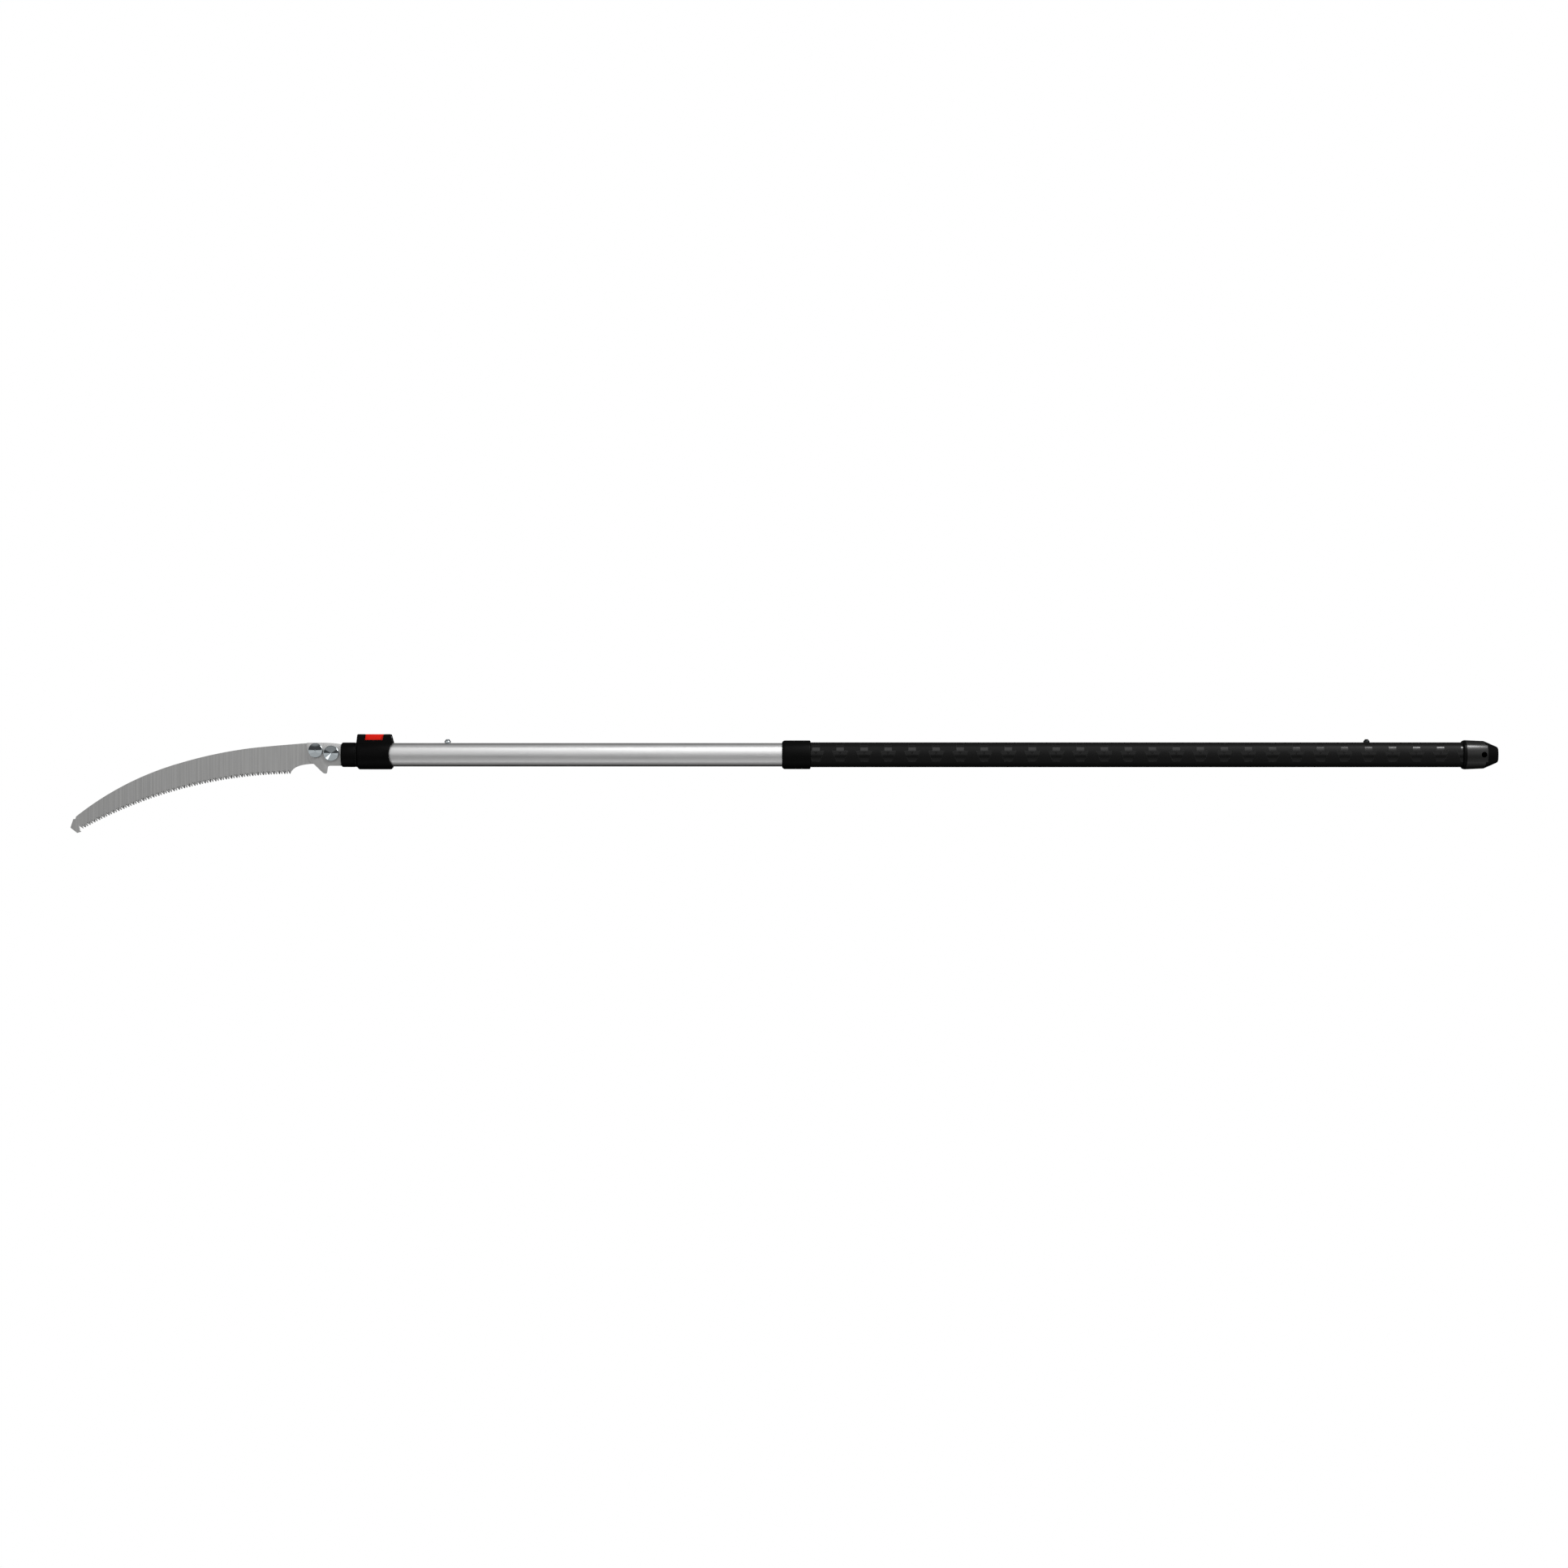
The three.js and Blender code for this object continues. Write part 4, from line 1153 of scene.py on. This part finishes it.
def make_travel_screw():
    low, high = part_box("travel_stop_screw")
    tip, face = low.x / MM, high.x / MM
    profile = [
        (0, tip), (1.1, tip), (1.5, tip + 0.5), (1.5, face - 2), (2.5, face - 2), (2.5, face - 0.5),
        (2.1, face), (0, face),
    ]
    z = TRAVEL_SCREW_Z
    screw = turn("screw", profile, (0, 0, z), axis="X", steps=32)
    cut(screw, rod("socket", 1, (face - 1, 0, z), (face + 1, 0, z), sides=6))
    return settle(screw, "outer_pole", "chrome", chrome(), "travel_stop_screw")


# ---------- The tubes ----------


def make_outer_tube():
    front, rear = edge_of("outer_tube", "front"), edge_of("outer_tube", "rear")
    tube = oval_turn("tube", [(front, 0), (rear, 0), (rear, -WALL), (front, -WALL), (front, 0)], fine=1.5)
    holes = [rod("hole", LOCK_HOLE, (LOCK_X, 0, 8), (LOCK_X, 0, 25))]
    for x in (middle_of("front_stop_screw"), middle_of("rear_stop_screw")):
        holes.append(rod("hole", 2.8, (x, 0, 8), (x, 0, 25)))
    for z in COLLAR_SCREWS_Z:
        holes.append(rod("hole", COLLAR_SCREW_HOLE, (COLLAR_SCREW_X, 5, z), (COLLAR_SCREW_X, 20, z)))
    cut(tube, *holes)
    return settle(tube, "outer_pole", "tube_aluminium", tube_aluminium(), "outer_tube")


def make_inner_tube():
    front, rear = edge_of("inner_tube", "front"), edge_of("inner_tube", "rear")
    inside = INNER_OFFSET - WALL
    tube = oval_turn("tube", [
        (front, INNER_OFFSET), (rear, INNER_OFFSET), (rear, inside), (front, inside), (front, INNER_OFFSET),
    ])
    lock_places = [LOCK_X + LOCK_PITCH * k for k in range(LOCK_HOLES)]
    holes = [rod("hole", LOCK_HOLE, (x, 0, 8), (x, 0, 25)) for x in lock_places]
    holes += [rod("hole", RIVET_HOLE, (x, -20, 0), (x, 20, 0)) for x in RIVETS_X]
    for x in (middle_of("stop_sleeve_pin"), middle_of("rear_glide_pin")):
        holes.append(rod("hole", 2.2, (x, -20, 0), (x, 20, 0)))
    cut(tube, *holes)
    return settle(tube, "inner_pole", "tube_aluminium", tube_aluminium(), "inner_tube")


# ---------- The grip end ----------

GRIP_FIGURE_X = -1194.5
PAD_FRONT, PAD_REAR = -57.9, -20.6
HANGING_HOLE_X = -28.2
HANGING_HOLE_RADIUS = 5


def grip_figures():
    """The sunk figures of one side: a neck over a wedge, with a small raised triangle in the wedge."""
    neck = [(-6.5, 18.5), (-6.5, 7), (-14, 7), (-6.5, -12), (6.5, -12), (14, 7), (6.5, 7), (6.5, 18.5)]
    master = plate("figure", neck, -30, -8)
    triangle = [(-3.4, 5.6), (3.4, 5.6), (0, -0.4)]
    cut(master, plate("triangle", triangle, -31, -7))
    pitch = sizes().relief_pitch / MM
    figures = repeat(master, [(GRIP_FIGURE_X + pitch * n, 0, 0) for n in range(sizes().relief_count)])
    bpy.data.objects.remove(master)
    return gather("figures", figures)


def make_grip():
    """The moulded rubber grip, with sunk figures down both sides."""
    front, rear = edge_of("grip_sleeve", "front"), edge_of("grip_sleeve", "rear")
    grip = oval_turn("grip", [
        (front, 0.3), (front, 0.9), (front + 0.5, GRIP_OFFSET), (rear - 0.5, GRIP_OFFSET), (rear, 0.9),
        (rear, 0.3), (front, 0.3),
    ], fine=1.25)
    floor = GRIP_OFFSET - sizes().relief_depth / MM
    near = grip_figures()
    core = [(front - 9, DEEP), (front - 9, floor), (rear + 9, floor), (rear + 9, DEEP)]
    cut(near, oval_turn("core", core, fine=1.25))
    far = repeat(near, [(0, 0, 0)])[0]
    choose(far)
    bpy.ops.transform.mirror(constraint_axis=(False, True, False))
    bpy.ops.object.transform_apply(location=True, rotation=True, scale=True)
    tidy(far)
    cut(grip, near, far)
    x = middle_of("rear_stop_screw")
    cut(grip, rod("screw_hole", 5.7, (x, 0, 8), (x, 0, 30)))
    settle(grip, "outer_pole", "grip_rubber", grip_rubber(), "grip_sleeve", smooth=30)
    return paint_faces(
        grip, grip_gloss(),
        lambda f: abs(oval_offset(f.center.y / MM, f.center.z / MM) - floor) < 0.2 and abs(f.normal.x) < 0.3,
    )


def make_cuff():
    front, rear = edge_of("grip_cuff", "front"), edge_of("grip_cuff", "rear")
    profile = [
        (front, 0.3), (front, 0.9), (front + 0.6, 2.2), (front + 1.4, 3), (front + 2.1, 3.6),
        (front + 3, 4.1), (front + 4.2, 4.45), (front + 5.5, 4.6), (rear - 2.2, 4.6), (rear - 1.2, 4.3),
        (rear - 0.4, 3.5),
        (rear, 2.4), (rear, OVER_GRIP), (-1246, OVER_GRIP), (-1246, 0.3), (front, 0.3),
    ]
    return settle(oval_turn("cuff", profile), "outer_pole", "black_plastic", black_plastic(), "grip_cuff")


def make_cap():
    """The rubber end cap, with a flat pad round the hanging hole on each side."""
    profile = [
        (0, DEEP), (0, -10.4), (-0.25, -9.2), (-0.9, -7.9), (-1.9, -6.8), (-3.5, -6), (-25.0, 3.35),
        (-26.2, 3.65), (-58.4, 5.08), (-59.6, 5.0), (-62, 4.2), (-63.4, 3.1), (-64, 2), (-64, OVER_GRIP),
        (-51.7, OVER_GRIP),
        (-51.7, 0.3), (-37.7, 0.3), (-37.7, -1.8), (-62, -1.8), (-62, -5), (-40, -5), (-40, DEEP),
    ]
    cap = oval_turn("cap", profile)
    pad = oval_turn("pad", [
        (PAD_FRONT, DEEP), (PAD_FRONT, 5.06), (-22.2, 3.5), (-21.2, 3.2), (PAD_REAR, 2.5), (PAD_REAR, DEEP),
    ])
    for near, far in ((-30, -8), (8, 30)):
        window = plate("window", [(-60, -13), (-20, -13), (-20, 17), (-60, 17)], near, far)
        copy = repeat(pad, [(0, 0, 0)])[0]
        join(cap, cross(copy, window))
    bpy.data.objects.remove(pad)
    groove = oval_turn("groove", [(-61.0, 4.0), (-58.0, 4.0), (-58.0, 9), (-61.0, 9), (-61.0, 4.0)])
    cross(groove, block("sides", (-70, -30, -18.5), (-40, 30, 18.5)))
    cut(cap, groove)
    x, radius = HANGING_HOLE_X, HANGING_HOLE_RADIUS
    cut(cap, rod("hanging_hole", radius, (x, -30, 0), (x, 30, 0), sides=48))
    settle(cap, "outer_pole", "cap_rubber", cap_rubber(), "end_cap", smooth=30)
    # The rim band in front of the pads, the taper behind them and the hanging hole's wall take the black
    # plastic, darker and duller than the cap's rubber: painted shade.
    hole = Vector((x, 0)) * MM
    return paint_faces(
        cap, black_plastic(),
        lambda f: f.center.x < (PAD_FRONT - 0.05) * MM or f.center.x > (PAD_REAR - 0.1) * MM
        or (f.center.xz - hole).length < (radius + 0.1) * MM and abs(f.normal.y) < 0.5,
    )


# ---------- Pieces kept as they are ----------

CARRIED = {
    "spacer_plate": plate_steel,
    "head_insert": machined_aluminium,
    "head_rivet_front": zinc_steel,
    "head_rivet_rear": zinc_steel,
    "stop_sleeve": glide_nylon,
    "stop_sleeve_pin": zinc_steel,
    "rear_glide": glide_nylon,
    "rear_glide_pin": zinc_steel,
    "guide_bush": glide_nylon,
    "lever_pivot_pin": blackened_steel,
    "lock_pin": zinc_steel,
}


def finish_carried():
    for node, material in CARRIED.items():
        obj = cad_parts[node]
        obj.data.materials.clear()
        obj.data.materials.append(material())


# ---------- The stage ----------


def area_light(name, place, aim, size, power):
    """A rectangular soft box that faces a point."""
    deselect_all()
    bpy.ops.object.light_add(type="AREA", location=place)
    lamp = bpy.context.object
    lamp.name = name
    lamp.rotation_euler = (Vector(aim) - Vector(place)).to_track_quat("-Z", "Y").to_euler()
    lamp.data.shape = "RECTANGLE"
    lamp.data.size, lamp.data.size_y = size
    lamp.data.energy = power
    return lamp


VIEW_CENTRE = (-1.2506, -0.0512)

# Brightness of the room by elevation in degrees, in front of the pole and behind it.
ROOM_FRONT = (
    (-90, 0.3), (-53, 0.3), (-49, 0.9), (-36, 0.9), (-32, 0.4), (-18, 0.4), (-14, 0.1), (-1, 0.08), (1, 0.85),
    (10, 0.85), (12, 0.7), (44, 0.7), (47, 0.3), (60, 0.3), (65, 0.45), (90, 0.45),
)
ROOM_BACK = ((-90, 0.1), (-60, 0.02), (0, 0.03), (5, 0.06), (20, 0.08), (60, 0.15), (90, 0.25))


def room_side(tree, height, levels):
    """The room's brightness by height, from levels at elevations in degrees."""
    ramp = add(tree, "ValToRGB", {0: height})
    stops = ramp.color_ramp.elements
    for stop, (elevation, level) in zip(stops, (levels[0], levels[-1])):
        stop.color = (level, level, level, 1)
    for elevation, level in levels[1:-1]:
        stop = stops.new(0.5 + 0.5 * math.sin(math.radians(elevation)))
        stop.color = (level, level, level, 1)
    return ramp.outputs[0]


def make_world():
    """A white backdrop to the camera, and a room of soft bands to everything else."""
    world = bpy.data.worlds.new("studio")
    bpy.context.scene.world = world
    world.use_nodes = True
    tree = world.node_tree
    tree.nodes.clear()
    way = add(tree, "SeparateXYZ", {0: add(tree, "TexCoord").outputs["Generated"]})
    height = add(tree, "MapRange", {0: way.outputs["Z"], 1: -1.0, 2: 1.0}).outputs[0]
    behind = add(tree, "MapRange", {0: way.outputs["Y"], 1: -0.05, 2: 0.05}).outputs[0]
    bands = mixed(tree, behind, room_side(tree, height, ROOM_FRONT), room_side(tree, height, ROOM_BACK))
    room = add(tree, "Background", {"Color": bands, "Strength": 1.0})
    backdrop = add(tree, "Background", {"Color": (1, 1, 1, 1), "Strength": 1.0})
    seen = add(tree, "LightPath").outputs["Is Camera Ray"]
    both = add(tree, "MixShader", {0: seen, 1: room.outputs[0], 2: backdrop.outputs[0]})
    out = add(tree, "OutputWorld")
    tree.links.new(both.outputs[0], out.inputs["Surface"])


def make_floor(drop):
    """A plain pale floor, white to the camera and left out of what the pole reflects."""
    deselect_all()
    bpy.ops.mesh.primitive_plane_add(size=30, location=(-1.25, 0, -drop))
    floor = bpy.context.object
    floor.name = "floor"
    material = bpy.data.materials.new("pale_floor")
    material.use_nodes = True
    tree = material.node_tree
    shader = tree.nodes["Principled BSDF"]
    shader.inputs["Base Color"].default_value = (0.8, 0.8, 0.8, 1)
    shader.inputs["Roughness"].default_value = 0.9
    glow = add(tree, "Emission", {"Color": (1, 1, 1, 1), "Strength": 1.0})
    seen = add(tree, "LightPath").outputs["Is Camera Ray"]
    both = add(tree, "MixShader", {0: seen, 1: shader.outputs[0], 2: glow.outputs[0]})
    tree.links.new(both.outputs[0], tree.nodes["Material Output"].inputs["Surface"])
    floor.data.materials.append(material)
    floor.visible_glossy = False
    floor.visible_diffuse = False


def make_camera(lens, distance):
    """A level camera in front of the middle of the saw."""
    x, z = VIEW_CENTRE
    deselect_all()
    bpy.ops.object.camera_add(location=(x, -distance, z), rotation=(math.pi / 2, 0, 0))
    camera = bpy.context.object
    camera.name = "camera"
    camera.data.lens = lens
    camera.data.sensor_width = 36
    camera.data.clip_end = 100
    bpy.context.scene.camera = camera


def make_stage():
    settings = stage_settings()
    make_camera(settings.lens, settings.distance)
    bpy.context.scene.view_settings.view_transform = "Standard"
    make_world()
    make_floor(settings.floor_drop)
    area_light("key", (-0.5, -1.9, 1.6), (-1.25, 0, 0), (3.0, 1.3), settings.key_power)
    area_light("butt_light", (0.9, -1.7, 2.1), (-0.2, 0, 0), (0.9, 0.8), settings.butt_power)
    area_light("back", (-1.2, 2.6, 1.1), (-1.2, 0, 0), (3.0, 0.7), settings.back_power)


# ---------- Operators ----------


class POLESAW_OT_stage(bpy.types.Operator):
    """Adds the camera, the lights, the room and the floor"""

    bl_idname = "polesaw.stage"
    bl_label = "Stage"
    bl_options = {"REGISTER", "UNDO"}

    def execute(self, context):
        make_stage()
        return {"FINISHED"}


class POLESAW_OT_blade(bpy.types.Operator):
    """Builds the curved blade with its ground teeth"""

    bl_idname = "polesaw.blade"
    bl_label = "Blade"
    bl_options = {"REGISTER", "UNDO"}

    def execute(self, context):
        make_blade()
        return {"FINISHED"}


class POLESAW_OT_cheek_plates(bpy.types.Operator):
    """Builds the two plates that hold the blade, one with the branch hook"""

    bl_idname = "polesaw.cheek_plates"
    bl_label = "Cheek plates"
    bl_options = {"REGISTER", "UNDO"}

    def execute(self, context):
        make_cheek("hook_plate", True)
        make_cheek("back_plate", False)
        return {"FINISHED"}


class POLESAW_OT_bolts(bpy.types.Operator):
    """Builds the two dished bolts and their flanged nuts"""

    bl_idname = "polesaw.bolts"
    bl_label = "Bolts and nuts"
    bl_options = {"REGISTER", "UNDO"}

    def execute(self, context):
        make_bolt("pivot_bolt", PIVOT, head=12.5, dish=0.9, dimple=1.0)
        make_bolt("clamp_bolt", CLAMP, head=13.4, dish=3.2, dimple=0.5)
        make_nut("pivot_nut", PIVOT)
        make_nut("clamp_nut", CLAMP)
        return {"FINISHED"}


class POLESAW_OT_ferrule(bpy.types.Operator):
    """Builds the black cover on the end of the inner tube"""

    bl_idname = "polesaw.ferrule"
    bl_label = "Ferrule"
    bl_options = {"REGISTER", "UNDO"}

    def execute(self, context):
        make_ferrule()
        return {"FINISHED"}


class POLESAW_OT_tubes(bpy.types.Operator):
    """Builds the outer tube and the inner tube with its lock holes"""

    bl_idname = "polesaw.tubes"
    bl_label = "Tubes"
    bl_options = {"REGISTER", "UNDO"}

    def execute(self, context):
        make_outer_tube()
        make_inner_tube()
        return {"FINISHED"}


class POLESAW_OT_collar(bpy.types.Operator):
    """Builds the collar and the wiper ring in its mouth"""

    bl_idname = "polesaw.collar"
    bl_label = "Collar"
    bl_options = {"REGISTER", "UNDO"}

    def execute(self, context):
        make_collar()
        make_wiper()
        return {"FINISHED"}


class POLESAW_OT_lever(bpy.types.Operator):
    """Builds the red lever and the lock pin's spring"""

    bl_idname = "polesaw.lever"
    bl_label = "Lever and spring"
    bl_options = {"REGISTER", "UNDO"}

    def execute(self, context):
        make_lever()
        make_spring()
        return {"FINISHED"}


class POLESAW_OT_screws(bpy.types.Operator):
    """Builds the stop screws and the collar's screws"""

    bl_idname = "polesaw.screws"
    bl_label = "Screws"
    bl_options = {"REGISTER", "UNDO"}

    def execute(self, context):
        make_stop_screw("front_stop_screw", chrome())
        # The rear screw takes the darkened chrome: painted dark reflection.
        make_stop_screw("rear_stop_screw", black_nickel())
        make_collar_screw("collar_screw_upper")
        make_collar_screw("collar_screw_lower")
        make_travel_screw()
        return {"FINISHED"}


class POLESAW_OT_grip(bpy.types.Operator):
    """Builds the moulded rubber grip and the cuff at its front"""

    bl_idname = "polesaw.grip"
    bl_label = "Grip and cuff"
    bl_options = {"REGISTER", "UNDO"}

    def execute(self, context):
        make_grip()
        make_cuff()
        return {"FINISHED"}


class POLESAW_OT_end_cap(bpy.types.Operator):
    """Builds the rubber end cap with its hanging hole"""

    bl_idname = "polesaw.end_cap"
    bl_label = "End cap"
    bl_options = {"REGISTER", "UNDO"}

    def execute(self, context):
        make_cap()
        return {"FINISHED"}


class POLESAW_OT_inner_parts(bpy.types.Operator):
    """Gives the bushes, pins, rivets and insert their finishes"""

    bl_idname = "polesaw.inner_parts"
    bl_label = "Inner parts"
    bl_options = {"REGISTER", "UNDO"}

    def execute(self, context):
        finish_carried()
        return {"FINISHED"}


OPERATORS = (
    POLESAW_OT_stage,
    POLESAW_OT_blade,
    POLESAW_OT_cheek_plates,
    POLESAW_OT_bolts,
    POLESAW_OT_ferrule,
    POLESAW_OT_tubes,
    POLESAW_OT_collar,
    POLESAW_OT_lever,
    POLESAW_OT_screws,
    POLESAW_OT_grip,
    POLESAW_OT_end_cap,
    POLESAW_OT_inner_parts,
)


# ---------- Panel ----------


class POLESAW_PT_panel(bpy.types.Panel):
    """Sizes, colours and building steps of the pole saw"""

    bl_label = "Pole Saw"
    bl_idname = "POLESAW_PT_panel"
    bl_space_type = "VIEW_3D"
    bl_region_type = "UI"
    bl_category = "Pole Saw"

    def draw(self, context):
        scene = context.scene
        for settings in (scene.pole_saw_sizes, scene.pole_saw_finishes, scene.pole_saw_stage):
            box = self.layout.box()
            for name in settings.__annotations__:
                box.prop(settings, name)
        for step in OPERATORS:
            self.layout.operator(step.bl_idname)


CLASSES = (PoleSawSizes, PoleSawFinishes, PoleSawStage, *OPERATORS, POLESAW_PT_panel)


def register():
    for cls in CLASSES:
        bpy.utils.register_class(cls)
    bpy.types.Scene.pole_saw_sizes = bpy.props.PointerProperty(type=PoleSawSizes)
    bpy.types.Scene.pole_saw_finishes = bpy.props.PointerProperty(type=PoleSawFinishes)
    bpy.types.Scene.pole_saw_stage = bpy.props.PointerProperty(type=PoleSawStage)


def unregister():
    del bpy.types.Scene.pole_saw_stage
    del bpy.types.Scene.pole_saw_finishes
    del bpy.types.Scene.pole_saw_sizes
    for cls in reversed(CLASSES):
        bpy.utils.unregister_class(cls)


def main():
    register()
    bpy.ops.polesaw.stage()
    bpy.ops.polesaw.blade()
    bpy.ops.polesaw.cheek_plates()
    bpy.ops.polesaw.bolts()
    bpy.ops.polesaw.ferrule()
    bpy.ops.polesaw.tubes()
    bpy.ops.polesaw.collar()
    bpy.ops.polesaw.lever()
    bpy.ops.polesaw.screws()
    bpy.ops.polesaw.grip()
    bpy.ops.polesaw.end_cap()
    bpy.ops.polesaw.inner_parts()


if __name__ == "__main__":
    main()
